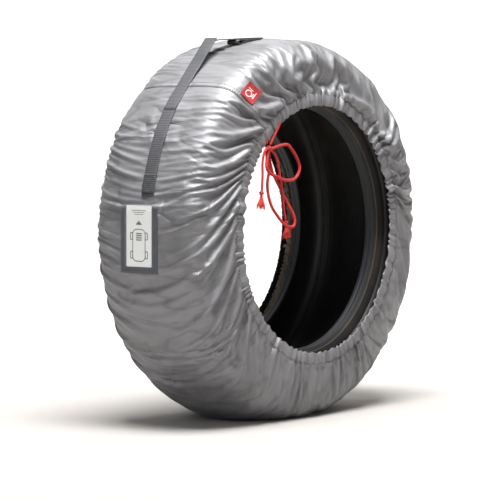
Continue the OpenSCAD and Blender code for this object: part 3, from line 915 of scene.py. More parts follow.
class Drape:
    """The settled cloth as a surface that other pieces follow."""

    def __init__(self, grid: np.ndarray) -> None:
        """Works out the cloth's normals.

        Args:
            grid: (columns, rows, 3) places.
        """
        self.grid = grid
        along = np.roll(grid, -1, 0) - np.roll(grid, 1, 0)
        n = np.cross(np.gradient(grid, axis=1), along)
        self.normal = n / np.linalg.norm(n, axis=-1, keepdims=True).clip(1e-12)

    def at(self, col: np.ndarray, row: np.ndarray) -> tuple[np.ndarray, np.ndarray]:
        """Places and normals at fractional columns and rows, smooth between columns."""
        nc, nr = self.grid.shape[:2]
        col, row = np.broadcast_arrays(col, row)
        c0 = np.floor(col).astype(int)
        f = (col - c0)[..., None]
        r0 = np.floor(row).astype(int).clip(0, nr - 2)
        g = (row - r0)[..., None]

        def pick(a):
            near = [(c0 + k) % nc for k in (-1, 0, 1, 2)]
            return catmull_rom(*(a[c, r0] * (1 - g) + a[c, r0 + 1] * g for c in near), f)

        n = pick(self.normal)
        return pick(self.grid), n / np.linalg.norm(n, axis=-1, keepdims=True).clip(1e-12)


def stitches(line: np.ndarray, normal: np.ndarray, length: float, gap: float, size: float) -> tuple:
    """A run of stitches along a line, each a short thread that dips into the cloth at both ends.

    Args:
        line: (n, 3) points.
        normal: (n, 3) directions off the cloth.
        length: of one stitch, in metres.
        gap: between two stitches.
        size: the thread's diameter.

    Returns:
        points, faces and UVs.
    """
    run = run_of(line)
    count = max(1, int(run[-1] / (length + gap)))
    start = (np.arange(count) + 0.2) * run[-1] / count
    share = np.array([0.0, 0.12, 0.5, 0.88, 1.0])
    at = start[:, None] + share[None, :] * length
    p, n = resample(line, run, at), resample(normal, run, at)
    t = (p[:, -1] - p[:, 0])[:, None]
    t = t / np.linalg.norm(t, axis=-1, keepdims=True).clip(1e-9)
    n = n / np.linalg.norm(n, axis=-1, keepdims=True).clip(1e-9)
    b = np.cross(t, n)
    thick = np.array([0.25, 0.8, 1.0, 0.8, 0.25])[None, :, None, None] * size / 2
    high = np.array([-0.5, 0.15, 0.35, 0.15, -0.5])[None, :, None, None] * size
    turn = np.linspace(0, TAU, 6, endpoint=False)[None, None, :, None]
    ring = p[:, :, None] + n[:, :, None] * (high + thick * np.cos(turn))
    ring = ring + b[:, :, None] * thick * np.sin(turn)
    one = grid_faces(5, 6, False, True)
    faces = halved((one[None] + (np.arange(count) * 30)[:, None, None]).reshape(-1, 4))
    points = ring.reshape(-1, 3)
    return points, faces, np.stack([points[:, 0] + points[:, 1], points[:, 2]], 1)


@dataclass
class Assembly:
    """What every sub-assembly knows: the frame's sizes and the finishes."""

    layout: Layout
    palette: Palette


@dataclass
class CoverFabric(Assembly):
    """The gathered fabric between its two hems."""

    strip: Strip | None = None
    drape: Drape | None = None
    seam_angle: float = 41.0
    seam_half: float = 5.5 * MM
    seam: tuple = ()

    def settle(self) -> None:
        """Settles the strip of cloth."""
        self.strip = Strip(self.layout)
        grid = self.strip.settle()
        self.seam = self.seam_line(grid)
        self.lay_flat_at_seam(grid)
        self.drape = Drape(grid)

    def seam_line(self, grid: np.ndarray) -> tuple[np.ndarray, ...]:
        """Where the closing seam runs: for each row its middle, its normal, its side and its column."""
        s = self.layout
        angle = np.degrees(np.arctan2(-grid[..., 0], grid[..., 2] - s.axis_z)) % 360
        nc, nr = angle.shape
        col = np.empty(nr)
        centre = np.empty((nr, 3))
        for j in range(nr):
            col[j] = np.abs(((angle[:, j] - self.seam_angle + 180) % 360) - 180).argmin()
            centre[j] = grid[(int(col[j]) + np.arange(-3, 4)) % nc, j].mean(0)
        r = np.hypot(centre[:, 0], centre[:, 2] - s.axis_z)
        kernel = np.hanning(9) / np.hanning(9).sum()

        def smooth(a):
            return np.convolve(np.pad(a, 4, mode="edge"), kernel, mode="valid")

        t = math.radians(self.seam_angle)
        line = polar(smooth(r), np.full(nr, t), smooth(centre[:, 1]), s.axis_z)
        side = np.array([-math.cos(t), 0.0, -math.sin(t)])
        tangent = np.gradient(line, axis=0)
        normal = np.cross(tangent, side)
        normal /= np.linalg.norm(normal, axis=1)[:, None]
        return line, normal, np.broadcast_to(side, line.shape), col

    def lay_flat_at_seam(self, grid: np.ndarray) -> None:
        """Flattens the cloth under the seam, which is too stiff to be gathered."""
        line, normal, side, col = self.seam
        nc, nr = grid.shape[:2]
        for j in range(nr):
            k = (int(col[j]) + np.arange(-16, 17)) % nc
            d = grid[k, j] - line[j]
            a, h = d @ side[j], d @ normal[j]
            w = np.clip((2.2 * self.seam_half - np.abs(a)) / self.seam_half, 0, 1)
            w = w * w * (3 - 2 * w)
            grid[k, j] -= ((h + 0.0004) * w)[:, None] * normal[j]

    def build(self) -> None:
        p = self.drape.grid.copy()
        n = self.drape.normal
        nc, nr = p.shape[:2]
        first, last = FrontHem.STITCH_ROW, nr - 1 - RearHem.STITCH_ROW
        p[:, first] -= 0.0008 * n[:, first]
        p[:, last] -= 0.0006 * n[:, last]
        part = p[:, first : last + 1]
        u = np.arange(nc) / nc * self.strip.length
        v = np.linspace(0, self.strip.section()[0][-1] * self.strip.slack, nr)[first : last + 1]
        uv = uv_grid(u[:, None], v[None, :])
        faces = grid_faces(nc, part.shape[1], True, False)[:, ::-1]
        zones = ("tread_panel", "front_side_panel", "rear_side_panel")
        shape = part.reshape(-1, 3), faces, uv
        fabric = piece("cover_fabric", shape, self.palette.silver, replaces=zones)


@dataclass
class FrontHem(Assembly):
    """The casing that the drawcord runs in: a fold at the opening and a stitched line behind it."""

    drape: Drape
    STITCH_ROW = 5
    FINE = 3

    def build(self) -> None:
        """Makes the casing, its stitching, and the cord inside it."""
        s, rng = self.layout, np.random.default_rng(11)
        nc = self.drape.grid.shape[0] * self.FINE
        col = np.arange(nc) / self.FINE
        rows = np.linspace(self.STITCH_ROW, 0, 13)
        p, n = self.drape.at(col[:, None], rows[None, :])
        t = np.linspace(0, 1, 13)
        # Small puckers that die out at the stitched line and are strongest where the gathers bunch.
        pitch = np.linalg.norm(np.roll(p[:, -1], -1, 0) - p[:, -1], axis=1)
        bunch = ((1.45 - pitch / pitch.mean()) * (0.8 + 0.5 * wave_noise(rng, nc, 30))).clip(0.06, 1.3)
        w = (1 + 0.5 * wave_noise(rng, nc, 90)).clip(0.3, 2.4)
        phase = np.cumsum(w) / w.sum() * TAU * 235
        pucker = np.sin(phase)[:, None] + 0.4 * np.sin(1.7 * phase[:, None] + 4 * t[None, :])
        swell = 0.0005 + 0.0010 * np.sin(np.pi * (t - 0.12) / 0.88)
        swell = np.where(t < 0.12, -0.0008 + 0.0013 * (t / 0.12), swell)
        small = 0.0006 * bunch[:, None] * pucker * (0.5 + 0.5 * np.sin(np.pi * t))[None]
        outer = p + n * (swell[None, :] + small)[..., None]
        # The fold round the opening, then the turned-in layer behind it.
        edge, back = outer[:, -1], np.array([0.0, 1.0, 0.0])
        axis = np.array([0, 0, s.axis_z])
        out = (edge - axis) * np.array([1, 0, 1])
        out /= np.linalg.norm(out, axis=1)[:, None]
        bend = np.linspace(0, np.pi, 9)[1:]
        round_r = 0.0014 + 0.0003 * bunch * np.sin(phase)
        fold = (
            edge[:, None]
            - out[:, None] * (round_r[:, None] * 0.62 * np.sin(bend)[None])[..., None]
            + back * (round_r[:, None] * (1 - np.cos(bend))[None])[..., None]
        )
        rest = fold[:, -1:] + out[:, None] * (np.linspace(0.003, 0.0165, 6)[None, :, None])
        grid = np.concatenate([outer, fold, rest], 1)
        run = run_of(grid[0])
        uv = uv_grid((col / 720 * 2.07)[:, None], -run[None, :])
        shape = grid.reshape(-1, 3), grid_faces(nc, grid.shape[1], True, False), uv
        casing = piece("front_drawcord_casing", shape, self.palette.silver)
        line, normal = grid[::2, 1], n[::2, 0]
        line = line + normal * 0.0001
        line, normal = (np.concatenate([a, a[:1]]) for a in (line, normal))
        thread = stitches(line, normal, 3.2 * MM, 2.0 * MM, 0.9 * MM)
        piece("casing_stitching", thread, self.palette.dark_thread, replaces=())
        path = outer[::6, 8] * 0.5 + rest[::6, 3] * 0.5
        path = np.concatenate([path, path[:1]])
        piece("casing_cord", tube(path, 0.45 * MM, 8)[:2], self.palette.cord)


@dataclass
class RearHem(Assembly):
    """The elastic at the back, ruched, and the turned-in hem beside it, which shows the cloth's back."""

    drape: Drape
    STITCH_ROW = 2

    def build(self) -> None:
        """Makes the turned-in hem and the elastic."""
        s, rng = self.layout, np.random.default_rng(23)
        nr = self.drape.grid.shape[1]
        nc = 1440
        col = np.arange(nc) / nc * self.drape.grid.shape[0]
        rows = np.linspace(nr - 1 - 0.6, nr - 12, 14)
        p, n = self.drape.at(col[:, None], rows[None, :])
        lining = p - n * 0.0009
        u = col / self.drape.grid.shape[0] * 2.07
        v = np.linspace(0, 0.048, 14)
        faces = grid_faces(nc, 14, True, False)[:, ::-1]
        shape = lining.reshape(-1, 3), faces, uv_grid(u[:, None], v[None, :])
        hem = piece("rear_hem", shape, self.palette.reverse)
        # The elastic's section is a soft lens, puckered all round.
        nc, side = 2400, 22
        a = np.arange(nc) / nc * TAU
        turn = np.linspace(0, TAU, side, endpoint=False)
        w = (1 + 0.35 * wave_noise(rng, nc, 120)).clip(0.4, 2)
        phase = np.cumsum(w) / w.sum() * TAU * 205
        size = 1 + 0.25 * wave_noise(rng, nc, 160).clip(-2, 2)
        ruffle = (np.sin(phase) * size)[:, None]
        wide = 0.0066 + 0.0010 * np.abs(ruffle) + 0.0004 * wave_noise(rng, nc, 240)[:, None]
        thick = 0.0023 * (0.75 + 0.45 * np.abs(np.sin(phase / 2 + 0.7)))[:, None]
        r = s.rear_r + 6.6 * MM + wide * np.cos(turn)[None]
        y = s.hem_y - 0.6 * MM + thick * np.sin(turn)[None]
        y = y + 0.0013 * ruffle * (0.4 + 0.6 * np.cos(turn)[None])
        points = polar(r, a[:, None], y, s.axis_z)
        uv = uv_grid(a[:, None] * 0.33, turn[None] * 0.002)
        shape = points.reshape(-1, 3), grid_faces(nc, side, True, True)[:, ::-1], uv
        piece("rear_elastic_band", shape, self.palette.elastic)


@dataclass
class ClosingSeam(Assembly):
    """The double-stitched seam that makes the strip a ring, and the tag sewn into it."""

    fabric: CoverFabric
    TAG = 27 * MM

    def build(self) -> None:
        """Makes the seam's flat, its two rows of stitches, and the tag."""
        line, normal, side, _ = self.fabric.seam
        first, last = FrontHem.STITCH_ROW, int(len(line) * 0.70)
        rows = np.arange(last - first)
        dense = np.linspace(0, len(rows) - 1, 4 * len(rows))
        line, normal, side = (resample(a[first:last], rows, dense) for a in (line, normal, side))
        half = self.fabric.seam_half
        across = np.array([-1.0, -0.93, -0.8, -0.62, -0.5, -0.2, 0.2, 0.5, 0.62, 0.8, 0.93, 1.0])
        high = np.array([-0.6, 0.45, 0.8, 0.55, 0.8, 0.9, 0.9, 0.8, 0.55, 0.8, 0.45, -0.6]) * MM
        run = run_of(line)
        pinch = 0.25 * MM * np.sin(run / 0.0042 * TAU)[:, None] * (np.abs(across)[None] < 0.9)
        grid = line[:, None] + side[:, None] * (across * half)[None, :, None]
        grid = grid + normal[:, None] * (high[None] + pinch)[..., None]
        uv = uv_grid(run[:, None], (across * half)[None])
        shape = grid.reshape(-1, 3), grid_faces(len(line), len(across)), uv
        piece("closing_seam", shape, self.palette.silver)
        thread = join([stitches(grid[:, k], normal, 3.2 * MM, 1.4 * MM, 1.0 * MM) for k in (3, 8)])
        piece("seam_stitching", thread, self.palette.dark_thread, replaces=())
        self.tag(line, normal, side)

    def tag(self, line: np.ndarray, normal: np.ndarray, side: np.ndarray) -> None:
        """Makes the woven tag, sewn along the seam over the front shoulder, and its white mark."""
        s = self.layout
        r = np.hypot(line[:, 0], line[:, 2] - s.axis_z)
        # The sewn edge runs from the front face up over the shoulder.
        low = int(np.abs(r - 0.272).argmin())
        run = run_of(line[low:])
        n = 15
        at = np.linspace(0, self.TAG, n)
        root, face = resample(line[low:], run, at), resample(normal[low:], run, at)
        flat = face.mean(0)
        face = 0.45 * face + 0.55 * flat / np.linalg.norm(flat)
        face /= np.linalg.norm(face, axis=1)[:, None]
        # A stiff tag can't follow the shoulder, so its sewn edge is nearly straight.
        chord = root[0] + (root[-1] - root[0]) * np.linspace(0, 1, n)[:, None]
        root = 0.35 * root + 0.65 * chord + face * 2.6 * MM
        away = -side[0]
        root = root + away * 1 * MM
        reach = np.linspace(0, self.TAG, n)
        curl = 0.0040 * (reach / self.TAG) ** 2 - 0.0016 * np.sin(np.pi * reach / self.TAG)
        corner = 0.0032 * (reach / self.TAG)[:, None] ** 2 * (1 - np.linspace(0, 1, n))[None, :] ** 2
        top = root[None] + away * reach[:, None, None] + face[None] * (curl[:, None] + corner)[..., None]
        half = 0.35 * MM * face[None]
        points = np.stack([top + half, top - half]).reshape(-1, 3)
        one, step = grid_faces(n, n), np.arange(n - 1)
        rim = np.concatenate([step, step * n + n - 1, n * n - 1 - step, (n - 1 - step) * n])
        after = np.roll(rim, -1)
        walls = np.stack([rim, after, after + n * n, rim + n * n], 1)
        faces = np.concatenate([one, one[:, ::-1] + n * n, walls])
        uv = np.concatenate([uv_grid(reach[:, None], at[None, :])] * 2)
        tag = piece("seam_tag", (points, faces, uv), self.palette.label, body="", smooth=False)
        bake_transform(tag)
        self.mark(top, face)

    def mark(self, top: np.ndarray, face: np.ndarray) -> None:
        """Draws a plain ring with two bars beside it on the tag."""
        n = top.shape[0]

        def on_tag(uv):
            i, j = uv[..., 0] * (n - 1), uv[..., 1] * (n - 1)
            i0, j0 = np.floor(i).astype(int).clip(0, n - 2), np.floor(j).astype(int).clip(0, n - 2)
            f, g = (i - i0)[..., None], (j - j0)[..., None]
            a = top[i0, j0] * (1 - f) * (1 - g) + top[i0 + 1, j0] * f * (1 - g)
            a = a + top[i0, j0 + 1] * (1 - f) * g + top[i0 + 1, j0 + 1] * f * g
            return a + face[j0] * 0.48 * MM

        turn = np.linspace(0, TAU, 40)
        strokes = [np.stack([0.42 + 0.2 * np.cos(turn), 0.60 + 0.2 * np.sin(turn)], 1)]
        for a, b in (((0.30, 0.22), (0.74, 0.22)), ((0.36, 0.32), (0.62, 0.32)), ((0.72, 0.45), (0.72, 0.8))):
            strokes.append(np.linspace(a, b, 14))
        drawn = join([ribbon(on_tag(stroke), face.mean(0), 1.3 * MM) for stroke in strokes])
        piece("tag_mark", drawn, self.palette.label_mark, TAG, ())


def ribbon(path: np.ndarray, normal: np.ndarray, width: float) -> Shape:
    """A flat line of one width that faces a direction, such as a printed stroke."""
    t = np.gradient(path, axis=0)
    b = np.cross(t, normal)
    b /= np.linalg.norm(b, axis=1)[:, None].clip(1e-9)
    points = np.stack([path - b * width / 2, path + b * width / 2], 1).reshape(-1, 3)
    return points, halved(grid_faces(len(path), 2)), points[:, [1, 2]]


@dataclass
class Tyre(Assembly):
    """The tyre inside: its crown's liner, sidewalls and beads. The tread and belt are out of sight."""

    # The bead's section from its heel round the foot to its toe: mm out from the seat, mm off the middle.
    FOOT = ((21, 98), (15, 96.2), (10.5, 93.6), (7.8, 92.4), (7.2, 91.2), (5.6, 90.6), (5, 89.4), (3.4, 89),
            (3, 88), (0.4, 86.6), (0, 85.4), (0, 81), (0.9, 79.6), (0.9, 78.6), (0, 77.4), (0, 73.2),
            (0.2, 71.8), (1.6, 70.8), (4, 71.8), (7, 75), (11, 79.5), (21, 86))

    def curve(self, depth: float, low: float, high: float, n: int) -> np.ndarray:
        """Part of the tyre's section, depth inside its outer face, between two angles in degrees."""
        s = self.layout
        phi = np.radians(np.linspace(low, high, n))
        a, b = s.cover_r - 2 * MM - s.side_r - depth, s.half_w - 7 * MM - depth
        r = s.side_r + a * np.cos(phi).clip(0, 1) ** (2 / 4.5)
        return np.stack([r, b * np.sign(phi) * np.abs(np.sin(phi)) ** (2 / 4.5)], 1)

    def ring(
        self, name: str, profile: np.ndarray, material: Material, slot: str, replaces: tuple | None = None
    ) -> None:
        """Turns a profile into a ring of the tyre."""
        area = (profile[:, 0] * np.roll(profile[:, 1], -1) - np.roll(profile[:, 0], -1) * profile[:, 1]).sum()
        if area < 0:
            profile = profile[::-1]
        piece(name, revolve(profile, self.layout.axis_z)[:2], material, replaces=replaces)

    def build(self) -> None:
        """Makes the rings that show through the opening."""
        s, p = self.layout, self.palette
        liner = self.curve(16 * MM, -50, 50, 61)
        # Fine ridges that the curing bladder leaves all round the liner.
        liner[:, 0] += 0.25 * MM * (np.sin(liner[:, 1] / 0.006 * TAU) > 0.75)
        crown = np.concatenate([self.curve(13.5 * MM, -50, 50, 61), liner[::-1]])
        self.ring("tyre_carcass", crown, p.liner, "inner_liner")
        top_r = s.bead_r + 21 * MM
        drop = s.side_r - top_r
        w = s.half_w - 7 * MM
        for sign, side in ((-1, "front"), (1, "rear")):
            outer = np.concatenate(
                [self.curve(0, 50, 90, 25), [[s.side_r - 0.33 * drop, w - 1.2 * MM]],
                 [[s.side_r - 0.67 * drop, w - 4.5 * MM], [top_r, w - 9 * MM]]]
            )
            steps = np.linspace(50, 90, 25)
            depth = np.linspace(16 * MM, 8 * MM, 25)
            inner = np.array([self.curve(d, a, a, 1)[0] for d, a in zip(depth, steps)])
            tail = np.array([[s.side_r - 0.5 * drop, w - 11 * MM], [top_r, 86 * MM]])
            inner = np.concatenate([inner, rounded(np.concatenate([inner[-1:], tail]), 2, False)[1:]])
            wall = np.concatenate([outer, inner[::-1]]) * [1, sign]
            self.ring(f"tyre_{side}_sidewall", wall, p.liner, "tyre_rubber")
            b = s.bead_r
            foot = np.array(self.FOOT)
            foot[:, 0] = np.where(foot[:, 0] > 20, top_r, b + foot[:, 0] * MM)
            foot[:, 1] *= MM * sign
            self.ring(f"{side}_bead_ring", rounded(foot, 2, False), p.bead, "tyre_rubber")
            turn = np.linspace(0, TAU, 10, endpoint=False)
            cord = np.stack([b + 0.0068 + 0.0009 * np.cos(turn), (91.3 + 0.9 * np.sin(turn)) * MM * sign], 1)
            self.ring(f"{side}_rim_line", cord, p.chafer, "tyre_rubber", ())


@dataclass
class Strap(Assembly):
    """The carrying strap: two sewn ends and the free webbing flopped over between them."""

    WIDTH = 25 * MM
    THICK = 1.7 * MM

    def line(self) -> np.ndarray:
        """The free webbing's middle as (x, y, z), from its lower sewn end to its upper one."""
        s = self.layout
        r = s.cover_r + 0.3 * MM + self.THICK / 2
        crown = s.axis_z + s.cover_r

        def arc(x, out, high, low, n):
            return [
                (x + out * math.cos(a), (high + low) / 2 + (high - low) / 2 * math.sin(a))
                for a in np.radians(np.linspace(90, -90, n))
            ]

        leg = [(-r * math.sin(a), s.axis_z + r * math.cos(a)) for a in np.radians(np.arange(72.6, 48, -3))]
        under, over = -0.4 * MM, 1.6 * MM
        bend = [(-0.139, -8.4 * MM), (-0.136, -6.2 * MM), (-0.131, -4.7 * MM), (-0.124, -4.0 * MM)]
        flat = [(x, over - 4.8 * MM * (-0.03 - x) / 0.08) for x in np.linspace(-0.11, -0.03, 6)]
        fold = arc(-0.022, 0.0013, over, under, 5)
        back = [(x, under - 3.0 * MM * (-0.03 - x) / 0.048) for x in np.linspace(-0.03, -0.078, 4)]
        turn_x, under = -0.08406, under - 3.2 * MM
        turn_h = math.sqrt(r * r - turn_x**2) - s.cover_r
        turn = arc(turn_x, -(under - turn_h) / 2, under, turn_h, 7)
        tail = [(-r * math.sin(math.radians(14.9)), r * math.cos(math.radians(14.9)) - s.cover_r)]
        flat_part = [(x, crown + h) for x, h in bend + flat + fold + back + turn + tail]
        pts = np.array(leg + flat_part)
        run = run_of(pts)
        marks = [0, 0.10, 0.20, run[len(leg) + 1], run[len(leg) + 9], run[-1]]
        y = np.interp(run, marks, [-0.0115, -0.0060, 0.0005, 0.0040, -0.0070, -0.0065])
        return np.stack([pts[:, 0], y, pts[:, 1]], 1)

    def web(self, path: np.ndarray, wave: float = 0.0) -> Shape:
        """Webbing along a path, its flat across Y, with rounded edges and a closed skin."""
        t = np.gradient(path, axis=0)
        n = np.stack([-t[:, 2], np.zeros(len(t)), t[:, 0]], 1)
        n /= np.linalg.norm(n, axis=1)[:, None]
        run = run_of(path)
        half, th = self.WIDTH / 2, self.THICK / 2
        k = np.array([-1, -0.985, -0.94, -0.5, 0, 0.5, 0.94, 0.985, 1])
        top = np.array([0, 0.6, 0.95, 1, 1, 1, 0.95, 0.6, 0]) * th
        section = np.concatenate([np.stack([k * half, top], 1), np.stack([k * half, -top], 1)[-2:0:-1]])
        ripple = wave * (np.sin(run * 95) + 0.6 * np.sin(run * 171 + 1))
        grid = path[:, None] + np.array([0, 1, 0]) * section[None, :, :1] + n[:, None] * (
            section[None, :, 1:] + ripple[:, None, None] * (section[None, :, :1] / half)
        )
        cols = len(section)
        faces = grid_faces(len(path), cols, False, True)
        first, last = np.arange(cols), np.arange(cols) + (len(path) - 1) * cols
        caps = []
        for ring, order in ((first, 1), (last, -1)):
            for q in range(1, cols // 2):
                quad = [ring[q], ring[q + 1], ring[cols - q - 1], ring[(cols - q) % cols]]
                caps.append(quad[::-order])
        faces = np.concatenate([faces[:, ::-1], np.array(caps)])
        return grid.reshape(-1, 3), faces, uv_grid(section[None, :, 0], run[:, None])

    def build(self) -> None:
        """Makes the webbing in two halves, its sewn ends and their stitching."""
        line = smooth_path(self.line(), 2.0 * MM)
        top = int(np.argmax(line[:, 0] > -0.100))
        halves = ((line[: top + 1], "strap_leg", 0.0003), (line[top:], "strap_fold", 0.0))
        for part, name, wave in halves:
            obj = piece(name, self.web(part, wave), self.palette.webbing, "", ("strap_span",))
            if name == "strap_leg":
                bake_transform(obj)
            else:
                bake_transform(obj)
        self.ends(line)

    def ends(self, line: np.ndarray) -> None:
        """Makes both sewn ends, a layer folded under, and the stitching on them."""
        s = self.layout
        rows = []
        for name, low, high, y in (
            ("strap_lower_end", 79.0, 72.4, float(line[0, 1])),
            ("strap_upper_end", 14.6, 8.5, float(line[-1, 1])),
        ):
            a = np.radians(np.linspace(low, high, 22))
            r, second = s.cover_r + 0.9 * MM, 1.45 * MM
            # The upper layer starts three steps in, where the end is folded under.
            layers = [
                self.web(polar(np.full(len(keep), r + rise), keep, np.full(len(keep), y), s.axis_z))
                for keep, rise in ((a, 0.0), (a[3:], second))
            ]
            piece(name, join(layers), self.palette.webbing)
            level = s.cover_r + 0.9 * MM + second + self.THICK / 2
            half = self.WIDTH / 2 - 3 * MM
            lo, hi = math.radians(low - 0.9), math.radians(high + 0.9)
            # A box of stitches and its two diagonals.
            corners = np.array([(lo, -half), (hi, -half), (hi, half), (lo, half)])
            for j, k in ((0, 1), (1, 2), (2, 3), (3, 0), (0, 2), (3, 1)):
                t = np.linspace(0, 1, 12)[:, None]
                c = corners[j] * (1 - t) + corners[k] * t
                pts = polar(np.full(12, level), c[:, 0], y + c[:, 1], s.axis_z)
                nrm = polar(np.ones(12), c[:, 0], np.zeros(12), 0.0)
                rows.append(stitches(pts, nrm, 2.4 * MM, 0.8 * MM, 0.7 * MM))
        piece("strap_stitches", join(rows), self.palette.dark_thread)


def plate(near: float, far: float, outline: np.ndarray) -> Shape:
    """A flat plate across X between two distances, from its outline (y, z) seen from -X, clockwise.

    Args:
        near: X of the back face.
        far: X of the front face, the smaller one.
        outline: (n, 2) corners of a convex shape.

    Returns:
        points, triangles and UVs.
    """
    n = len(outline)
    front = np.column_stack([np.full(n, far), outline])
    rear = np.column_stack([np.full(n, near), outline])
    mid = outline.mean(0)
    points = np.concatenate([front, rear, [[far, *mid]], [[near, *mid]]])
    k = np.arange(n)
    k2 = (k + 1) % n
    tris = [
        np.stack([np.full(n, 2 * n), k, k2], 1),
        np.stack([np.full(n, 2 * n + 1), k2 + n, k + n], 1),
        np.stack([k, k + n, k2], 1),
        np.stack([k2, k + n, k2 + n], 1),
    ]
    return points, np.concatenate(tris), points[:, [1, 2]]


def round_rect(y0: float, y1: float, z0: float, z1: float, radius: float, n: int = 6) -> np.ndarray:
    """A rectangle with rounded corners as (y, z) points, clockwise seen from -X."""
    out = []
    for cy, cz, start in ((y1 - radius, z1 - radius, 0), (y0 + radius, z1 - radius, 90),
                          (y0 + radius, z0 + radius, 180), (y1 - radius, z0 + radius, 270)):
        a = np.radians(start + np.linspace(0, 90, n))
        out.append(np.stack([cy + radius * np.cos(a), cz + radius * np.sin(a)], 1))
    return np.concatenate(out)


@dataclass
class CardPocket(Assembly):
    """The clear pocket on the tread and the card that says which wheel is inside."""

    def build(self) -> None:
        """Makes the backing, the stitched border, the clear front, the card and its print."""
        (_, y0, z0), (_, y1, z1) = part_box("pocket_binding")
        lo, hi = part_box("marker_card")
        p = self.palette
        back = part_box("pocket_back")[0][0]
        wide, lap = 10 * MM, 1 * MM
        base = plate(back + 0.9 * MM, back, round_rect(y0, y1, z0, z1, 2 * MM))
        piece("pocket_back", base, p.silver, smooth=False)
        inner = (y0 + wide - lap, y1 - wide + lap, z0 + wide, 1.5)
        sides = ((y0, y0 + wide, z1, 1.3), (y1 - wide, y1, z1, 1.3), inner)
        bars = [
            plate(back - 0.02 * MM, back - rise * MM, round_rect(left, right, z0, top, 0.6 * MM))
            for left, right, top, rise in sides
        ]
        piece("pocket_binding", join(bars), p.binding, smooth=False)
        face = back - 1.3 * MM
        rows = []
        for inset in (1.6 * MM, wide - 1.8 * MM):
            left, right, high = y0 + inset, y1 - inset, z1 - 2 * MM
            pts = np.array([(left, high), (left, z0 + inset), (right, z0 + inset), (right, high)])
            for a, b in zip(pts[:-1], pts[1:]):
                t = np.linspace(0, 1, 20)[:, None]
                q = a * (1 - t) + b * t
                line = np.column_stack([np.full(20, face), q])
                rows.append(stitches(line, np.tile([-1.0, 0, 0], (20, 1)), 2.6 * MM, 1.0 * MM, 0.7 * MM))
        piece("pocket_stitching", join(rows), p.thread, replaces=(), smooth=False)
        card = plate(hi[0], lo[0], round_rect(lo[1], hi[1], lo[2], hi[2], 2 * MM))
        piece("marker_card", card, p.card, CARD, smooth=False)
        drawn = self.drawing(lo[0] - 0.03 * MM, lo, hi)
        piece("card_print", drawn, p.ink, CARD, (), smooth=False)
        lo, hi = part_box("pocket_window")
        front = plate(hi[0], lo[0], round_rect(lo[1], hi[1], lo[2], hi[2], MM))
        piece("pocket_window", front, p.vinyl, smooth=False)

    def drawing(self, x: float, lo: tuple, hi: tuple) -> tuple:
        """A plan of a car with four wheels, a sign and lines in place of text, as thin strokes."""
        mid, low, high = (lo[1] + hi[1]) / 2, lo[2], hi[2]
        face = np.array([-1.0, 0, 0])
        strokes = []

        def draw(points, width=1.5 * MM, closed=True):
            points = np.asarray(points)
            if closed:
                points = np.concatenate([points, points[:1], points[1:2]])
            line = np.column_stack([np.full(len(points), x), points])
            strokes.append(ribbon(line, face, width))

        draw(round_rect(mid - 13 * MM, mid + 13 * MM, low + 9 * MM, low + 60 * MM, 8 * MM))
        for y in (mid - 15.5 * MM, mid + 15.5 * MM):
            for z in (low + 19 * MM, low + 49 * MM):
                draw(round_rect(y - 2.2 * MM, y + 2.2 * MM, z - 5.5 * MM, z + 5.5 * MM, 1 * MM))
        for k in range(4):
            z = low + (43.0 + 3.4 * k) * MM
            draw([(mid - 6 * MM, z), (mid - 1 * MM, z), (mid + 6 * MM, z)], 2.0 * MM, False)
        peak = high - 24 * MM
        for k in range(4):
            z = peak - (6 - 1.7 * k) * MM
            draw([(mid - (6 - 1.7 * k) * MM, z), (mid + (6 - 1.7 * k) * MM, z)], 1.9 * MM, False)
        for k, w in enumerate((15, 12, 9)):
            z = high - (8 + 3.2 * k) * MM
            draw([(mid - w * MM, z), (mid + w * MM, z)], 0.9 * MM, False)
        return join(strokes)


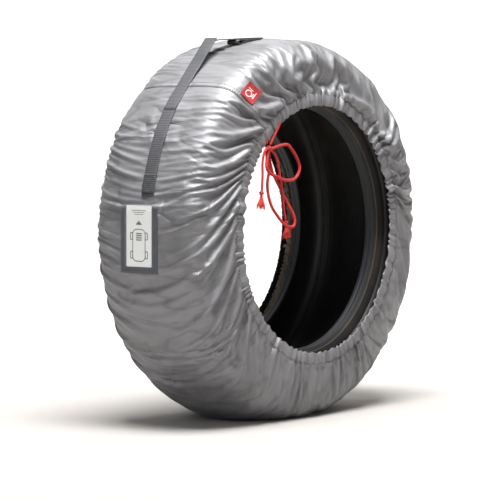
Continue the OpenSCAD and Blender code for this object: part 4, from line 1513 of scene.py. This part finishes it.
@dataclass
class Bow(Assembly):
    """The drawcord outside its casing: the taut leg, the knot, two loops and two tasselled tails."""

    PITCH = 11 * MM
    UPPER = ((3, -2, -1), (15, -2, 2), (31, -2, 5), (47, -2, 6), (56, -2, 1), (66, -3, -9), (76, -3, -22),
             (78, -4, -32), (73, -5, -42), (60, -7, -50), (43, -8, -52), (26, -9, -50), (10, -9, -45),
             (-3, -8, -41), (-11, -7, -35), (-13, -6, -28), (-10, -4, -20), (-6, -2, -11), (-2, -1, -3))
    LOWER = ((-2, 1, 0), (-1, 3, -12), (3, 3, -23), (6, 3, -34), (3, 3, -45), (-2, 1, -58), (-4, -2, -72),
             (-3, -5, -85), (2, -7, -97), (11, -9, -108), (22, -11, -119), (36, -12, -127), (50, -12, -127),
             (56, -11, -119), (54, -8, -105), (47, -4, -91), (39, 0, -75), (31, 3, -60), (22, 3, -49),
             (14, 3, -38), (9, 3, -25), (5, 3, -13), (2, 1, 0))
    LONG = ((3, -1, 0), (13, -2, -9), (20, -3, -22), (24, -3, -35), (26, -3, -46), (29, -4, -57),
            (31, -4, -70), (34, -4, -88), (37, -4, -106), (41, -4, -120))
    SHORT = ((-3, -2, 1), (-12, -3, -2), (-17, -3, -10), (-20, -3, -24), (-21, -4, -39), (-23, -5, -54),
             (-26, -6, -70))

    def cord(
        self, name: str, path: np.ndarray, size: float, body: str
    ) -> tuple[bpy.types.Object, np.ndarray]:
        """Makes a length of twisted cord and hangs it on its body.

        Args:
            name: the CAD node that it stands for.
            path: its middle.
            size: its diameter.
            body: the body that it rides on.

        Returns:
            the object and its ring centres.
        """
        path = smooth_path(path, 1.0 * MM)
        shape = tube(path, size / 2 * 1.06, 18, 3, self.PITCH, 0.34)[:2]
        return piece(name, shape, self.palette.cord, body), path

    def build(self) -> None:
        knot, thin = self.layout.knot, 4.2 * MM
        sides = ("right", "left")
        holes = [self.eyelet(f"{side}_eyelet") for side in sides]
        legs = []
        for side, hole in zip(sides, holes):
            start = hole + np.array([0, 1.8 * MM, 0])
            out = hole + np.array([0, -3.2 * MM, 0])
            toward = (out - knot) / np.linalg.norm(out - knot)
            near = knot + toward * 8.4 * MM
            points = np.array([start, hole, 0.85 * out + 0.15 * near, 0.5 * (out + near), near])
            legs.append(self.cord(f"cord_leg_{side}", points, thin, ROOT))
        obj, path = legs[0]
        self.knot_wraps(knot)
        loops = (("loop_upper", self.UPPER, 5.2 * MM), ("loop_lower", self.LOWER, 5.0 * MM))
        for name, points, size in loops:
            obj, path = self.cord(name, knot + np.array(points) * MM, size, BOW)
        for name, points, lean in (("tail_long", self.LONG, -8), ("tail_short", self.SHORT, 6)):
            obj, path = self.cord(name, knot + np.array(points) * MM, thin, BOW)
            tassel = self.tassel(name.replace("tail", "tassel"), path[-1], math.radians(lean))

    def eyelet(self, name: str) -> np.ndarray:
        """Makes a rolled metal eyelet in the casing's face, and returns the middle of its hole."""
        lo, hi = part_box(name)
        centre = (np.array(lo) + np.array(hi)) / 2
        out = centre - np.array([0, centre[1], self.layout.axis_z])
        centre = centre + out / np.linalg.norm(out) * 6 * MM
        front = lo[1]
        turn = np.linspace(0, TAU, 40, endpoint=False)
        profile = ((2.9, 1.6), (2.9, 0.0), (3.0, -0.75), (3.5, -1.15), (4.2, -1.0), (4.8, -0.45), (4.9, 0.1),
                   (4.2, 0.35), (3.6, 0.4), (3.5, 1.6))
        line = rounded(np.array(profile) * MM, 1)
        x = centre[0] + line[None, :, 0] * np.cos(turn)[:, None]
        z = centre[2] + line[None, :, 0] * np.sin(turn)[:, None]
        y = np.broadcast_to(front + 0.4 * MM + line[None, :, 1], x.shape)
        shape = np.stack([x, y, z], -1).reshape(-1, 3), grid_faces(40, len(line), True, True)[:, ::-1]
        piece(name, shape, self.palette.eyelet)
        return np.array([centre[0], front + 0.7 * MM, centre[2]])

    def knot_wraps(self, knot: np.ndarray) -> None:
        """Makes the knot: a cord wound twice round the strands, over a small core."""
        turn = np.linspace(0, TAU * 2.1, 60)
        path = knot + np.stack(
            [4.1 * np.cos(turn), 3.6 * np.sin(turn), -3.4 + 6.0 * turn / turn[-1] + 0.8 * np.sin(turn)], 1
        ) * MM
        wraps = tube(path, 2.2 * MM, 16, 3, self.PITCH, 0.3)
        core_path = knot + np.array([[0, 0, 5], [0.3, 0, 2], [0, 0, 0], [0.2, 0, -3], [0, 0, -6]]) * MM
        core = tube(smooth_path(core_path, MM), 2.8 * MM, 14, 2, self.PITCH, 0.3)
        piece("bow_knot", join([wraps, core]), self.palette.cord, BOW)

    def tassel(self, name: str, end: np.ndarray, lean: float) -> list[bpy.types.Object]:
        """Makes a cord's knotted end and the frayed yarn below it."""
        rng = np.random.default_rng(5 if "long" in name else 8)
        c, s = math.cos(lean), math.sin(lean)
        tilt = np.array([[c, 0, s], [0, 1, 0], [-s, 0, c]])
        turn = np.linspace(0, TAU * 1.6, 36)
        wrap = np.stack([2.5 * np.cos(turn), 2.5 * np.sin(turn), 1.0 - 3.6 * turn / turn[-1]], 1) * MM
        ball = tube(end + wrap @ tilt.T, 1.9 * MM, 12, 3, self.PITCH, 0.3)[:2]
        ball = piece(name + "_knot", ball, self.palette.cord, BOW, ())
        parts = []
        for _ in range(64):
            a, spread = rng.uniform(0, TAU), rng.uniform(0.1, 1) ** 0.6
            reach = rng.uniform(17, 25)
            t = np.linspace(0, 1, 8)
            wide = 1.6 + 7.4 * spread * t**1.5
            sway = 0.9 * np.sin(5 * t + rng.uniform(0, 6)) * t
            q = np.stack([np.cos(a) * wide + sway, np.sin(a) * wide * 0.8 + sway * 0.5, -3.0 - reach * t], 1)
            parts.append(tube(end + (q * MM) @ tilt.T, 0.42 * MM, 5))
        return [piece(name, join(parts), self.palette.fringe, BOW), ball]


def dress_hidden(frame: dict, palette: Palette) -> None:
    """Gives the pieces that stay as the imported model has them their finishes."""
    finishes = {
        "tyre_tread": palette.rubber,
        "steel_belt": palette.wire,
        "front_bead_wire": palette.wire,
        "rear_bead_wire": palette.wire,
    }
    for name, material in finishes.items():
        mesh = frame["nodes"][name].data
        mesh.materials.clear()
        mesh.materials.append(material)


# ---------------------------------------------------------------- camera, light and floor


class Studio:
    """The camera, the light and the floor."""

    AZIMUTH = -52.3
    DISTANCE = 4.0
    HEIGHT = 0.506
    PITCH = 3.19
    FOCAL_SHARE = 4.71
    SHIFT = (-0.024, -0.0058)

    def camera(self) -> None:
        """A long lens a little over the axle's height, from the front left."""
        a, t = math.radians(self.AZIMUTH), math.radians(self.PITCH)
        data = bpy.data.cameras.new("camera")
        data.sensor_width = 36
        data.lens = 36 * self.FOCAL_SHARE
        data.shift_x, data.shift_y = self.SHIFT
        data.clip_start, data.clip_end = 0.1, 50
        cam = bpy.data.objects.new("camera", data)
        cam.location = (self.DISTANCE * math.sin(a), -self.DISTANCE * math.cos(a), self.HEIGHT)
        cam.rotation_euler = (math.pi / 2 - t, 0, a)
        bpy.context.scene.collection.objects.link(cam)
        bpy.context.scene.camera = cam

    def lamp(
        self, name: str, place: tuple, aim: tuple, size: tuple, power: float, colour: tuple, cone: float = 0.0
    ) -> None:
        """Adds a softbox, or a soft spot where a cone is given.

        Args:
            name: the lamp's name.
            place: where it hangs, in metres.
            aim: where it points.
            size: its width and height.
            power: in watts.
            colour: red, green and blue.
            cone: a spot's angle in degrees.
        """
        data = bpy.data.lights.new(name, "SPOT" if cone else "AREA")
        if cone:
            data.spot_size, data.spot_blend, data.shadow_soft_size = math.radians(cone), 0.7, size[0] / 2
        else:
            data.shape, data.size, data.size_y = "RECTANGLE", size[0], size[1]
        data.energy, data.color = power, colour
        lamp = bpy.data.objects.new(name, data)
        away = np.array(place) - np.array(aim)
        lamp.location = place
        lamp.rotation_euler = (math.acos(away[2] / np.linalg.norm(away)), 0, math.atan2(away[0], -away[1]))
        bpy.context.scene.collection.objects.link(lamp)

    def light(self) -> None:
        """A big softbox above and in front, a weak cool one on the left, and one for the backdrop."""
        scene = bpy.context.scene
        scene.view_settings.view_transform = "Standard"
        world = bpy.data.worlds.new("studio")
        world.use_nodes = True
        sky = world.node_tree.nodes["Background"].inputs
        sky["Color"].default_value = (0.92, 0.95, 1.0, 1)
        sky["Strength"].default_value = 0.13
        scene.world = world
        self.lamp("overhead", (-0.45, -0.45, 2.7), (0.0, 0.0, 0.4), (1.5, 1.2), 176, (1.0, 0.99, 0.98))
        self.lamp("left", (-3.2, -0.6, 1.9), (0, 0, 0.35), (1.2, 1.0), 14, (0.9, 0.95, 1.0))
        self.lamp("front", (1.2, -3.2, 0.9), (0, 0, 0.3), (1.4, 1.2), 6, (1.0, 0.92, 0.84))
        self.lamp("opening", (-2.3, -2.05, 0.9), (0.16, 0.02, 0.32), (0.3, 0.3), 60, (1.0, 0.98, 0.95), 9)
        a = math.radians(self.AZIMUTH)
        ahead = np.array([-math.sin(a), math.cos(a), 0.0])
        for side in (-1.6, 1.6):
            across = np.array([math.cos(a), math.sin(a), 0.0]) * side
            place, aim = ahead * 1.9 + across + (0, 0, 3.1), ahead * 5.2 + across + (0, 0, 0.9)
            self.lamp("backdrop", tuple(place), tuple(aim), (1.6, 1.6), 380, (1.0, 1.0, 1.0))

    def floor(self) -> None:
        """A wide pale floor that curves up into a backdrop behind the object."""
        mat = Finish("pale paper backdrop", "#b7b4b1", 0.95, specular=0.05).material()
        turn = np.linspace(0, np.pi / 2, 17)
        flat, bend, rise = 5.2, 1.3, 5.0
        along = np.concatenate([[-7.0, 0.0], flat + bend * np.sin(turn), [flat + bend]])
        high = np.concatenate([[0.0, 0.0], bend - bend * np.cos(turn), [rise]])
        across = np.array([-8.0, 8.0])
        a = math.radians(self.AZIMUTH)
        x = -math.sin(a) * along[:, None] + math.cos(a) * across[None]
        y = math.cos(a) * along[:, None] + math.sin(a) * across[None]
        z = np.broadcast_to(high[:, None], x.shape)
        faces = grid_faces(len(along), 2)[:, ::-1]
        mesh_object("floor", np.stack([x, y, z], -1).reshape(-1, 3), faces, mat)


def main() -> None:
    """Builds every sub-assembly in order."""
    logging.basicConfig(level=logging.INFO, format="%(message)s")
    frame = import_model()
    studio = Studio()
    studio.camera()
    studio.light()
    studio.floor()
    layout = Layout.read()
    LOG.info("layout %s", layout)
    palette = Palette()
    fabric = CoverFabric(layout, palette)
    fabric.settle()
    fabric.build()
    FrontHem(layout, palette, fabric.drape).build()
    RearHem(layout, palette, fabric.drape).build()
    ClosingSeam(layout, palette, fabric).build()
    Tyre(layout, palette).build()
    Strap(layout, palette).build()
    CardPocket(layout, palette).build()
    Bow(layout, palette).build()
    dress_hidden(frame, palette)


if __name__ == "__main__":
    main()
